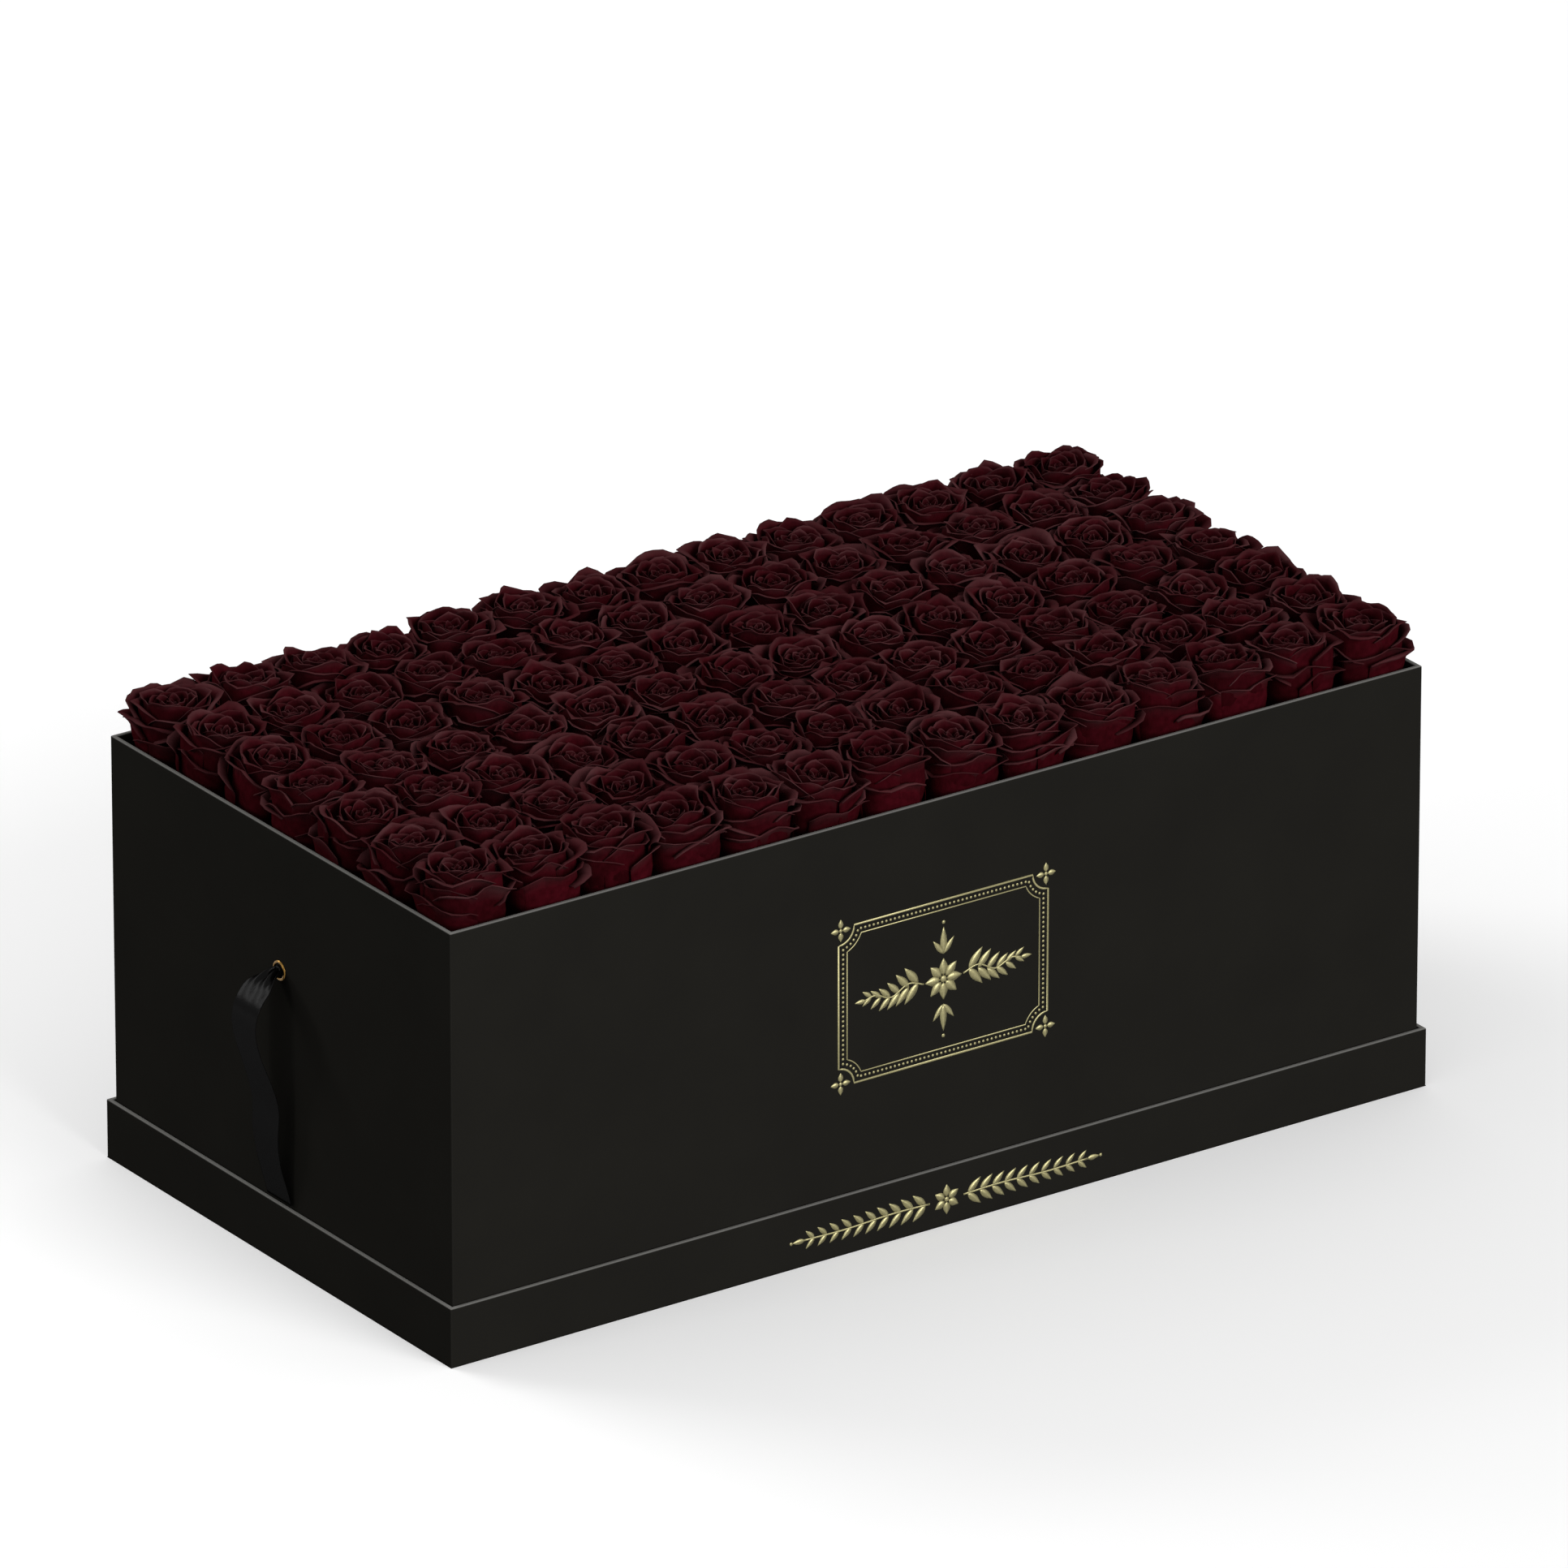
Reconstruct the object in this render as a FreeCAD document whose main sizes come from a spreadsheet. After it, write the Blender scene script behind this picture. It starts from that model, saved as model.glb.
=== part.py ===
import FreeCAD, Part
import math
import os
import Sketcher

# Flower box: a rigid board box of rose heads that stands in a shallow board tray.
# Frame: +X along the length to the right, -Y to the front, +Z up, origin at the middle of the underside.
# Lengths are in millimetres.

doc = FreeCAD.newDocument("flower_box")

SIZES = {
    "box_length": 690.0,
    "box_width": 354.0,
    "rim_height": 270.0,
    "board_thickness": 2.5,
    "paper_thickness": 0.3,
    "wrap_turn_in": 20.0,
    "wrap_turn_under": 15.0,
    "stay_leg": 15.0,
    "stay_thickness": 0.25,
    "fill_gap": 0.3,
    "tray_height": 37.5,
    "tray_gap": 0.9,
    "eyelet_drop": 86.0,
    "eyelet_bore": 8.8,
    "eyelet_wall": 0.6,
    "flange_width": 2.0,
    "flange_thickness": 1.0,
    "curl_width": 1.2,
    "curl_thickness": 0.6,
    "washer_width": 2.4,
    "washer_thickness": 0.6,
    "eyelet_clearance": 0.1,
    "neck_clearance": 0.9,
    "knot_diameter": 14.0,
    "knuckle_reach": 4.6,
    "strap_gap": 0.3,
    "ribbon_width": 25.0,
    "ribbon_thickness": 0.5,
    "ribbon_reach": 27.7,
    "tail_gap": 1.0,
    "knot_room": 4.5,
    "long_rib_count": 2,
    "cross_rib_count": 5,
    "slot_clearance": 0.2,
    "seat_depth": 22.0,
    "brick_columns": 3,
    "brick_rows": 3,
    "rose_columns": 14,
    "rose_rows": 7,
    "rose_gap": 1.2,
    "rose_height": 54.0,
    "calyx_diameter": 12.0,
    "stem_diameter": 2.4,
    "stem_clearance": 0.1,
    "stem_cover": 5.0,
}

sheet = doc.addObject("Spreadsheet::Sheet", "sizes")
for line, (alias, number) in enumerate(SIZES.items(), start=1):
    sheet.set(f"A{line}", alias)
    sheet.set(f"B{line}", str(number))
    sheet.setAlias(f"B{line}", alias)
doc.recompute()

# Formulas that several pieces share, written on the sheet's names.
BOARD = "sizes.board_thickness"
PAPER = "sizes.paper_thickness"
WALL = f"({BOARD} + {PAPER})"
OVERHANG = f"(sizes.tray_gap + {BOARD} + 2 * {PAPER})"
TRAY_LENGTH = f"(sizes.box_length + 2 * {OVERHANG})"
TRAY_WIDTH = f"(sizes.box_width + 2 * {OVERHANG})"
INNER_LENGTH = f"(sizes.box_length - 2 * {WALL})"
INNER_WIDTH = f"(sizes.box_width - 2 * {WALL})"
FIT = "(sizes.stay_thickness + sizes.fill_gap)"
BOX_BOTTOM = f"({PAPER} + {BOARD})"
FLOOR_TOP = f"({BOX_BOTTOM} + {PAPER} + {BOARD})"
EYELET_HEIGHT = "(sizes.rim_height - sizes.eyelet_drop)"
BARREL_RADIUS = "(sizes.eyelet_bore / 2 + sizes.eyelet_wall)"
HOLE_RADIUS = f"({BARREL_RADIUS} + sizes.eyelet_clearance)"
CURL_START = f"({WALL} + sizes.washer_thickness)"
CURL_END = f"({CURL_START} + sizes.curl_thickness)"
NECK_RADIUS = "(sizes.eyelet_bore / 2 - sizes.neck_clearance)"
KNOT_RADIUS = "(sizes.knot_diameter / 2)"
KNOT_SEAT = f"sqrt({KNOT_RADIUS} ^ 2 - (sizes.eyelet_bore / 2) ^ 2)"
KNOT_DEPTH = f"({CURL_END} + {KNOT_SEAT} + sizes.eyelet_clearance)"
RIB_INSET = f"({KNOT_DEPTH} + {KNOT_RADIUS} + sizes.knot_room - {WALL})"
PLATFORM_BOTTOM = f"({EYELET_HEIGHT} + {KNOT_RADIUS} + sizes.knot_room)"
RIB_HEIGHT = f"({PLATFORM_BOTTOM} - {FLOOR_TOP})"
FOAM_BOTTOM = f"({PLATFORM_BOTTOM} + {BOARD})"
FOAM_TOP = "(sizes.rim_height - sizes.seat_depth)"
GRID_LENGTH = f"({INNER_LENGTH} - 2 * {PAPER})"
GRID_WIDTH = f"({INNER_WIDTH} - 2 * {PAPER})"
COLUMN_PITCH = f"({GRID_LENGTH} / sizes.rose_columns)"
ROW_PITCH = f"({GRID_WIDTH} / sizes.rose_rows)"
STEM_LENGTH = f"({FOAM_TOP} - {FOAM_BOTTOM} - sizes.stem_cover)"
HEAD_RADIUS = f"((min({COLUMN_PITCH}; {ROW_PITCH}) - sizes.rose_gap) / 2)"

# Shape of a rose head, as shares of its radius and height. A ring's lip is as thick as the share that
# its hollow leaves, and each head is turned by the golden angle from the one before it.
CUP_STEPS = ((0.93, 0.42), (1.0, 0.68), (0.90, 0.80))
PETAL_SIDES = 5
PETAL_RINGS = (
    {"name": "outer", "turn": 0.0, "root": (0.78, 0.72), "lip": (0.98, 0.88), "hollow": (0.68, 0.80)},
    {"name": "middle", "turn": 36.0, "root": (0.56, 0.78), "lip": (0.74, 0.95), "hollow": (0.46, 0.86)},
    {"name": "inner", "turn": 12.0, "root": (0.34, 0.84), "lip": (0.48, 1.0), "hollow": (0.18, 0.92)},
)
LIP_SHARE = 0.9
ROSE_TURN = 137.5

# Hang of the ribbon: reach from the wall, drop from the eyelet and spread of the gathers, as shares of
# the full reach, the full drop and the ribbon's width.
RIBBON_HANG = (
    (0.50, 0.044, 0.38),
    (0.72, 0.081, 0.56),
    (0.925, 0.132, 0.80),
    (1.0, 0.202, 0.96),
    (0.88, 0.301, 1.0),
    (0.61, 0.432, 1.0),
    (0.45, 0.556, 1.0),
    (0.455, 0.687, 1.0),
    (0.343, 0.806, 1.0),
    (0.152, 0.928, 1.0),
    (0.058, 1.0, 1.0),
)
FOLDS = 4

named_parts = []


def value(formula):
    """The number that a formula on the sheet's names comes to."""
    return float(sheet.evalExpression(formula))


def bind(piece, formulas):
    """Ties each property of a piece to its formula."""
    for name, formula in formulas.items():
        piece.setExpression(name, formula)
    return piece


def place(piece, corner):
    """Ties a piece's position to three formulas."""
    names = ("Placement.Base.x", "Placement.Base.y", "Placement.Base.z")
    return bind(piece, dict(zip(names, corner)))


def keep(piece, label):
    """Names a finished sub-part and lists it for writing."""
    piece.Label = label
    named_parts.append(piece)
    return piece


def block(name, size, corner):
    """A board or slab from its size and its lowest corner."""
    piece = doc.addObject("Part::Box", name)
    bind(piece, dict(zip(("Length", "Width", "Height"), size)))
    return place(piece, corner)


def centred_block(name, length, width, low, high):
    """A slab centred on the vertical axis between two heights."""
    corner = (f"-{length} / 2", f"-{width} / 2", low)
    return block(name, (length, width, f"{high} - {low}"), corner)


def cut(name, base, tool):
    """One piece less another."""
    piece = doc.addObject("Part::Cut", name)
    piece.Base = base
    piece.Tool = tool
    return piece


def group(name, pieces):
    """Separate solids kept together."""
    piece = doc.addObject("Part::Compound", name)
    piece.Links = pieces
    return piece


def joined(name, pieces):
    """One solid from several."""
    piece = doc.addObject("Part::MultiFuse", name)
    piece.Shapes = pieces
    return piece


def paper_wrap(name, length, width, low, high, floor_hole):
    """A paper skin over a board tray: its sides, its rim and the turn-in down the inside of the walls.

    The skin is the outer block less the open middle, less the boards above the turn-in's lower edge and
    less everything between the skins below that edge. floor_hole is (length, width, top) of the block
    that is taken out below, so that a turn-under can stay.
    """
    board_length = f"({length} - 2 * {PAPER})"
    board_width = f"({width} - 2 * {PAPER})"
    clear_length = f"({length} - 2 * {WALL})"
    clear_width = f"({width} - 2 * {WALL})"
    turn_low = f"({high} - sizes.wrap_turn_in)"
    whole = centred_block(f"{name}_whole", length, width, low, high)
    middle = centred_block(
        f"{name}_middle", f"({clear_length} - 2 * {PAPER})", f"({clear_width} - 2 * {PAPER})", turn_low, high
    )
    boards = cut(
        f"{name}_boards",
        centred_block(f"{name}_board_outside", board_length, board_width, turn_low, f"({high} - {PAPER})"),
        centred_block(f"{name}_board_inside", clear_length, clear_width, turn_low, f"({high} - {PAPER})"),
    )
    hole_length, hole_width, hole_top = floor_hole
    below = centred_block(f"{name}_below", board_length, board_width, hole_top, turn_low)
    under = centred_block(f"{name}_under", hole_length, hole_width, low, turn_low)
    return cut(f"{name}_skin", whole, joined(f"{name}_room", [middle, boards, below, under]))


def wall_set(prefix, length, width, low, high):
    """Four wall boards on edge: front and back run the whole length, the ends stand between them."""
    tall = f"{high} - {low}"
    end_width = f"({width} - 2 * {BOARD})"
    half_length = f"({length} / 2)"
    half_width = f"({width} / 2)"
    long_size = (length, BOARD, tall)
    end_size = (BOARD, end_width, tall)
    return {
        "front": block(f"{prefix}_front", long_size, (f"-{half_length}", f"-{half_width}", low)),
        "back": block(f"{prefix}_back", long_size, (f"-{half_length}", f"{half_width} - {BOARD}", low)),
        "left": block(f"{prefix}_left", end_size, (f"-{half_length}", f"-{end_width} / 2", low)),
        "right": block(f"{prefix}_right", end_size, (f"{half_length} - {BOARD}", f"-{end_width} / 2", low)),
    }


def base_tray():
    """Bottom sheet, floor board, four wall boards and the paper wrap of the tray."""
    board_length = f"({TRAY_LENGTH} - 2 * {PAPER})"
    board_width = f"({TRAY_WIDTH} - 2 * {PAPER})"
    keep(centred_block("bottom_sheet", TRAY_LENGTH, TRAY_WIDTH, "0", PAPER), "tray_bottom_sheet")
    keep(centred_block("tray_base", board_length, board_width, PAPER, BOX_BOTTOM), "tray_floor")
    walls = wall_set("tray_wall", board_length, board_width, BOX_BOTTOM, f"(sizes.tray_height - {PAPER})")
    for side, wall in walls.items():
        keep(wall, f"tray_{side}_wall")
    floor_hole = (board_length, board_width, PAPER)
    keep(paper_wrap("tray", TRAY_LENGTH, TRAY_WIDTH, PAPER, "sizes.tray_height", floor_hole), "tray_wrap")


def eyelet_drill():
    """One straight drill along X through both end walls at the eyelets' height."""
    drill = doc.addObject("Part::Cylinder", "eyelet_drill")
    drill.Placement.Rotation = FreeCAD.Rotation(FreeCAD.Vector(0, 1, 0), 90)
    bind(drill, {"Radius": HOLE_RADIUS, "Height": TRAY_LENGTH})
    return place(drill, (f"-{TRAY_LENGTH} / 2", "0", EYELET_HEIGHT))


def corner_stays():
    """An L of tape up each inside corner, from the floor board to the paper turn-in."""
    tall = f"sizes.rim_height - sizes.wrap_turn_in - {FLOOR_TOP}"
    stays = []
    for x_side in (-1, 1):
        for y_side in (-1, 1):
            name = f"stay_{len(stays) + 1}"
            corner_x = f"{x_side} * {INNER_LENGTH} / 2"
            corner_y = f"{y_side} * {INNER_WIDTH} / 2"
            leg_x = f"{corner_x} - {(1 + x_side) // 2} * sizes.stay_leg"
            leg_y = f"{corner_y} - {(1 + y_side) // 2} * sizes.stay_leg"
            thin_x = f"{corner_x} - {(1 + x_side) // 2} * sizes.stay_thickness"
            thin_y = f"{corner_y} - {(1 + y_side) // 2} * sizes.stay_thickness"
            long_size = ("sizes.stay_leg", "sizes.stay_thickness", tall)
            end_size = ("sizes.stay_thickness", "sizes.stay_leg", tall)
            along_x = block(f"{name}_long_leg", long_size, (leg_x, thin_y, FLOOR_TOP))
            along_y = block(f"{name}_end_leg", end_size, (thin_x, leg_y, FLOOR_TOP))
            stays.append(joined(name, [along_x, along_y]))
    keep(group("stays", stays), "corner_stays")


def flower_case(drill):
    """Floor board, four wall boards, paper wrap and corner stays of the tall box."""
    board_length = f"(sizes.box_length - 2 * {PAPER})"
    board_width = f"(sizes.box_width - 2 * {PAPER})"
    board_bottom = f"({BOX_BOTTOM} + {PAPER})"
    keep(centred_block("case_base", board_length, board_width, board_bottom, FLOOR_TOP), "box_floor")
    walls = wall_set("case_wall", board_length, board_width, FLOOR_TOP, f"(sizes.rim_height - {PAPER})")
    for side in ("front", "back"):
        keep(walls[side], f"box_{side}_wall")
    for side in ("left", "right"):
        keep(cut(f"case_wall_{side}_drilled", walls[side], drill), f"box_{side}_wall")
    under_length = "(sizes.box_length - 2 * sizes.wrap_turn_under)"
    under_width = "(sizes.box_width - 2 * sizes.wrap_turn_under)"
    floor_hole = (under_length, under_width, board_bottom)
    outside = ("sizes.box_length", "sizes.box_width", BOX_BOTTOM, "sizes.rim_height")
    skin = paper_wrap("case", *outside, floor_hole)
    keep(cut("case_skin_drilled", skin, drill), "box_wrap")
    corner_stays()


def turned_profile(body, corners):
    """A closed outline in a body's XZ plane, each corner tied to its two formulas."""
    plane = [item for item in body.Origin.OriginFeatures if item.Role == "XZ_Plane"][0]
    sketch = body.newObject("Sketcher::SketchObject", "profile")
    sketch.AttachmentSupport = [(plane, "")]
    sketch.MapMode = "FlatFace"
    points = [FreeCAD.Vector(value(x), value(z), 0) for x, z in corners]
    for start, end in zip(points, points[1:] + points[:1]):
        sketch.addGeometry(Part.LineSegment(start, end), False)
    count = len(points)
    for index in range(count):
        sketch.addConstraint(Sketcher.Constraint("Coincident", index, 2, (index + 1) % count, 1))
    for index, (x, z) in enumerate(corners):
        for kind, formula in (("DistanceX", x), ("DistanceY", z)):
            number = sketch.addConstraint(Sketcher.Constraint(kind, -1, 1, index, 1, value(formula)))
            sketch.setExpression(f"Constraints[{number}]", formula)
    return sketch


def turned_piece(label, side, corners):
    """A ring turned about X at an end wall, with its outline's X counted outwards from the wrap's face."""
    body = doc.addObject("PartDesign::Body", label)
    sketch = turned_profile(body, corners)
    turning = body.newObject("PartDesign::Revolution", "turning")
    turning.Profile = sketch
    turning.ReferenceAxis = (sketch, ["H_Axis"])
    turning.Angle = 360
    body.Placement.Rotation = FreeCAD.Rotation(FreeCAD.Vector(0, 0, 1), 90 - 90 * side)
    place(body, (f"{side} * sizes.box_length / 2", "0", EYELET_HEIGHT))
    return keep(body, label)


def eyelet(side_name, side):
    """A metal eyelet, with its flange outside and its curl inside, and the washer under the curl."""
    bore = "sizes.eyelet_bore / 2"
    flange = f"{BARREL_RADIUS} + sizes.flange_width"
    flange_crown = f"{BARREL_RADIUS} + sizes.flange_width / 2"
    curl = f"{BARREL_RADIUS} + sizes.curl_width"
    lip = "sizes.flange_thickness"
    turned_piece(
        f"eyelet_{side_name}",
        side,
        [
            (f"-{CURL_END}", bore),
            (lip, bore),
            (lip, flange_crown),
            (f"{lip} / 2", flange),
            ("0", flange),
            ("0", BARREL_RADIUS),
            (f"-{CURL_START}", BARREL_RADIUS),
            (f"-{CURL_START}", curl),
            (f"-{CURL_END}", curl),
        ],
    )
    washer = f"{HOLE_RADIUS} + sizes.washer_width"
    turned_piece(
        f"eyelet_washer_{side_name}",
        side,
        [
            (f"-{CURL_START}", HOLE_RADIUS),
            (f"-{WALL}", HOLE_RADIUS),
            (f"-{WALL}", washer),
            (f"-{CURL_START}", washer),
        ],
    )


def ribbon_knot(side_name, side):
    """The knot behind the eyelet, the gathered neck through its bore and the round knuckle outside."""
    wall_face = f"{side} * sizes.box_length / 2"
    knot = doc.addObject("Part::Sphere", f"knot_ball_{side_name}")
    bind(knot, {"Radius": KNOT_RADIUS})
    place(knot, (f"{wall_face} - {side} * {KNOT_DEPTH}", "0", EYELET_HEIGHT))
    neck = doc.addObject("Part::Cylinder", f"knot_neck_{side_name}")
    neck.Placement.Rotation = FreeCAD.Rotation(FreeCAD.Vector(0, 1, 0), 90 * side)
    bind(neck, {"Radius": NECK_RADIUS, "Height": f"{KNOT_DEPTH} + sizes.knuckle_reach"})
    place(neck, (f"{wall_face} - {side} * {KNOT_DEPTH}", "0", EYELET_HEIGHT))
    knuckle = doc.addObject("Part::Sphere", f"knot_knuckle_{side_name}")
    bind(knuckle, {"Radius": NECK_RADIUS})
    place(knuckle, (f"{wall_face} + {side} * sizes.knuckle_reach", "0", EYELET_HEIGHT))
    keep(joined(f"knot_{side_name}", [knot, neck, knuckle]), f"ribbon_knot_{side_name}")


def ribbon_section(centre, along, spread):
    """The ribbon's cross-section: a strip of constant cut width, pleated where its spread is less.

    Each of the equal pleats spans its share of the spread across Y, and rises by what is left of its
    share of the ribbon's width.
    """
    width = value("sizes.ribbon_width")
    half_thickness = value("sizes.ribbon_thickness") / 2
    rise = FreeCAD.Vector(-along.z, 0, along.x)
    depth = math.sqrt(max(width**2 - spread**2, 0)) / (2 * FOLDS)
    upper = []
    lower = []
    for step in range(FOLDS + 1):
        across = FreeCAD.Vector(0, spread * (step / FOLDS - 0.5), 0)
        height = depth if step % 2 else -depth
        upper.append(centre + across + rise * (height + half_thickness))
        lower.append(centre + across + rise * (height - half_thickness))
    return Part.makePolygon(upper + lower[::-1] + upper[:1])


def ribbon(side_name, side):
    """The hanging strap: a ruled loft through its sections, gathered at the knuckle and flat below."""
    knuckle = value("sizes.knuckle_reach")
    start = knuckle + value(NECK_RADIUS) + value("sizes.strap_gap")
    reach = value("sizes.ribbon_reach")
    width = value("sizes.ribbon_width")
    drop = value(f"{EYELET_HEIGHT} - sizes.tray_height - sizes.tail_gap")
    gathered = 2 * value(NECK_RADIUS) * math.sqrt(0.5)
    points = [FreeCAD.Vector(start, 0, 0)]
    points += [FreeCAD.Vector(reach * out, 0, -drop * down) for out, down, spread in RIBBON_HANG]
    spreads = [gathered] + [width * spread for out, down, spread in RIBBON_HANG]
    last = len(points) - 1
    sections = []
    for index, (point, spread) in enumerate(zip(points, spreads)):
        along = points[min(index + 1, last)] - points[max(index - 1, 0)]
        if index == 0:
            along = FreeCAD.Vector(1, 0, 0)
        if index == last:
            along = FreeCAD.Vector(0, 0, -1)
        sections.append(ribbon_section(point, along.normalize(), spread))
    strap = doc.addObject("Part::Feature", f"strap_{side_name}")
    strap.Shape = Part.makeLoft(sections, True, True)
    strap.Placement.Rotation = FreeCAD.Rotation(FreeCAD.Vector(0, 0, 1), 90 - 90 * side)
    place(strap, (f"{side} * sizes.box_length / 2", "0", EYELET_HEIGHT))
    keep(strap, f"ribbon_{side_name}")


def slots(name, places, low, tall, along_x):
    """Upright slots across a rib, one at each crossing, a little wider than the board that passes."""
    opening = f"({BOARD} + 2 * sizes.slot_clearance)"
    through = f"(2 * {BOARD})"
    cutters = []
    for number, (x, y) in enumerate(places, start=1):
        size = (opening, through, tall) if along_x else (through, opening, tall)
        corner = (f"{x} - {size[0]} / 2", f"{y} - {size[1]} / 2", low)
        cutters.append(block(f"{name}_slot_{number}", size, corner))
    return group(f"{name}_slots", cutters)


def riser():
    """Long and cross ribs halved into each other on the floor board, and the platform that they carry."""
    long_count = int(value("sizes.long_rib_count"))
    cross_count = int(value("sizes.cross_rib_count"))
    long_length = f"({INNER_LENGTH} - 2 * {RIB_INSET})"
    cross_length = f"({INNER_WIDTH} - 2 * {FIT})"
    x_places = [f"{INNER_LENGTH} * ({i + 1} / (sizes.cross_rib_count + 1) - 0.5)" for i in range(cross_count)]
    y_places = [f"{INNER_WIDTH} * ({i + 1} / (sizes.long_rib_count + 1) - 0.5)" for i in range(long_count)]
    middle = f"({FLOOR_TOP} + {RIB_HEIGHT} / 2)"
    half_slot = f"({RIB_HEIGHT} / 2 + sizes.slot_clearance)"
    for number, y in enumerate(y_places, start=1):
        name = f"riser_long_rib_{number}"
        corner = (f"-{long_length} / 2", f"{y} - {BOARD} / 2", FLOOR_TOP)
        board = block(f"{name}_board", (long_length, BOARD, RIB_HEIGHT), corner)
        crossings = [(x, y) for x in x_places]
        notches = slots(name, crossings, FLOOR_TOP, half_slot, True)
        keep(cut(f"{name}_slotted", board, notches), name)
    for number, x in enumerate(x_places, start=1):
        name = f"riser_cross_rib_{number}"
        corner = (f"{x} - {BOARD} / 2", f"-{cross_length} / 2", FLOOR_TOP)
        board = block(f"{name}_board", (BOARD, cross_length, RIB_HEIGHT), corner)
        crossings = [(x, y) for y in y_places]
        notches = slots(name, crossings, f"{middle} - sizes.slot_clearance", half_slot, False)
        keep(cut(f"{name}_slotted", board, notches), name)
    platform_length = f"({INNER_LENGTH} - 2 * {FIT})"
    platform = centred_block("platform", platform_length, cross_length, PLATFORM_BOTTOM, FOAM_BOTTOM)
    keep(platform, "platform_board")


def rose_places():
    """Centres of the roses, a list of points for each row from front to back."""
    columns = int(value("sizes.rose_columns"))
    rows = int(value("sizes.rose_rows"))
    x_pitch = value(COLUMN_PITCH)
    y_pitch = value(ROW_PITCH)
    return [
        [
            FreeCAD.Vector((column - (columns - 1) / 2) * x_pitch, (row - (rows - 1) / 2) * y_pitch, 0)
            for column in range(columns)
        ]
        for row in range(rows)
    ]


def foam(places):
    """Foam bricks on the platform, drilled where the stems go in."""
    drill = doc.addObject("Part::Cylinder", "stem_drill")
    bind(drill, {"Radius": "sizes.stem_diameter / 2 + sizes.stem_clearance", "Height": STEM_LENGTH})
    doc.recompute()
    holes = doc.addObject("Part::Feature", "stem_holes")
    deep = FreeCAD.Vector(0, 0, value(FOAM_TOP) - value(STEM_LENGTH))
    holes.Shape = Part.makeCompound([drill.Shape.translated(spot + deep) for row in places for spot in row])
    columns = int(value("sizes.brick_columns"))
    rows = int(value("sizes.brick_rows"))
    bed_length = f"({INNER_LENGTH} - 2 * {FIT} + sizes.fill_gap)"
    bed_width = f"({INNER_WIDTH} - 2 * {FIT} + sizes.fill_gap)"
    brick_length = f"({bed_length} / sizes.brick_columns - sizes.fill_gap)"
    brick_width = f"({bed_width} / sizes.brick_rows - sizes.fill_gap)"
    for row in range(rows):
        for column in range(columns):
            name = f"foam_brick_{row * columns + column + 1}"
            x = f"{column} * ({brick_length} + sizes.fill_gap) - {INNER_LENGTH} / 2 + {FIT}"
            y = f"{row} * ({brick_width} + sizes.fill_gap) - {INNER_WIDTH} / 2 + {FIT}"
            size = (brick_length, brick_width, f"{FOAM_TOP} - {FOAM_BOTTOM}")
            keep(cut(f"{name}_drilled", block(f"{name}_block", size, (x, y, FOAM_BOTTOM)), holes), name)


def petal_outline(name, radius_share, height_share, turn):
    """A five-sided outline across a rose head, at a share of its radius and of its height."""
    outline = doc.addObject("Part::RegularPolygon", name)
    outline.Polygon = PETAL_SIDES
    outline.Placement.Rotation = FreeCAD.Rotation(FreeCAD.Vector(0, 0, 1), turn)
    bind(outline, {"Circumradius": f"{radius_share} * {HEAD_RADIUS}"})
    return place(outline, ("0", "0", f"{height_share} * sizes.rose_height"))


def petal_loft(name, lower, upper, turn):
    """A five-sided block between two outlines."""
    loft = doc.addObject("Part::Loft", name)
    loft.Sections = [petal_outline(f"{name}_low", *lower, turn), petal_outline(f"{name}_high", *upper, turn)]
    loft.Solid = True
    loft.Ruled = True
    return loft


def rose_head():
    """One rose head on the origin: a round cup of guard petals, and flared rings of petal lips in it."""
    pieces = []
    low_radius = "sizes.calyx_diameter / 2"
    low_height = "0"
    for number, (radius_share, height_share) in enumerate(CUP_STEPS, start=1):
        cone = doc.addObject("Part::Cone", f"rose_cup_{number}")
        high_radius = f"{radius_share} * {HEAD_RADIUS}"
        high_height = f"{height_share} * sizes.rose_height"
        bind(cone, {"Radius1": low_radius, "Radius2": high_radius, "Height": f"{high_height} - {low_height}"})
        pieces.append(place(cone, ("0", "0", low_height)))
        low_radius = high_radius
        low_height = high_height
    for ring in PETAL_RINGS:
        name = f"rose_{ring['name']}"
        lip_radius, lip_height = ring["lip"]
        lip_inside = (LIP_SHARE * lip_radius, lip_height)
        flare = petal_loft(f"{name}_petals", ring["root"], ring["lip"], ring["turn"])
        hollow = petal_loft(f"{name}_hollow", ring["hollow"], lip_inside, ring["turn"])
        pieces.append(cut(f"{name}_ring", flare, hollow))
    return joined("rose_head", pieces)


def roses(places):
    """Rows of rose heads seated on the foam, each turned a little further, and their stems below."""
    head = rose_head()
    stem = doc.addObject("Part::Cylinder", "rose_stem")
    bind(stem, {"Radius": "sizes.stem_diameter / 2", "Height": STEM_LENGTH})
    doc.recompute()
    seat = FreeCAD.Vector(0, 0, value(FOAM_TOP))
    stem_foot = seat - FreeCAD.Vector(0, 0, value(STEM_LENGTH))
    turned = 0
    for number, row in enumerate(places, start=1):
        heads = []
        for spot in row:
            turn = FreeCAD.Rotation(FreeCAD.Vector(0, 0, 1), turned * ROSE_TURN)
            copy = head.Shape.copy()
            copy.Placement = FreeCAD.Placement(spot + seat, turn)
            heads.append(copy)
            turned += 1
        head_row = doc.addObject("Part::Feature", f"head_row_{number}")
        head_row.Shape = Part.makeCompound(heads)
        keep(head_row, f"rose_row_{number}")
        stem_row = doc.addObject("Part::Feature", f"stem_set_{number}")
        stem_row.Shape = Part.makeCompound([stem.Shape.translated(spot + stem_foot) for spot in row])
        keep(stem_row, f"stem_row_{number}")


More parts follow.
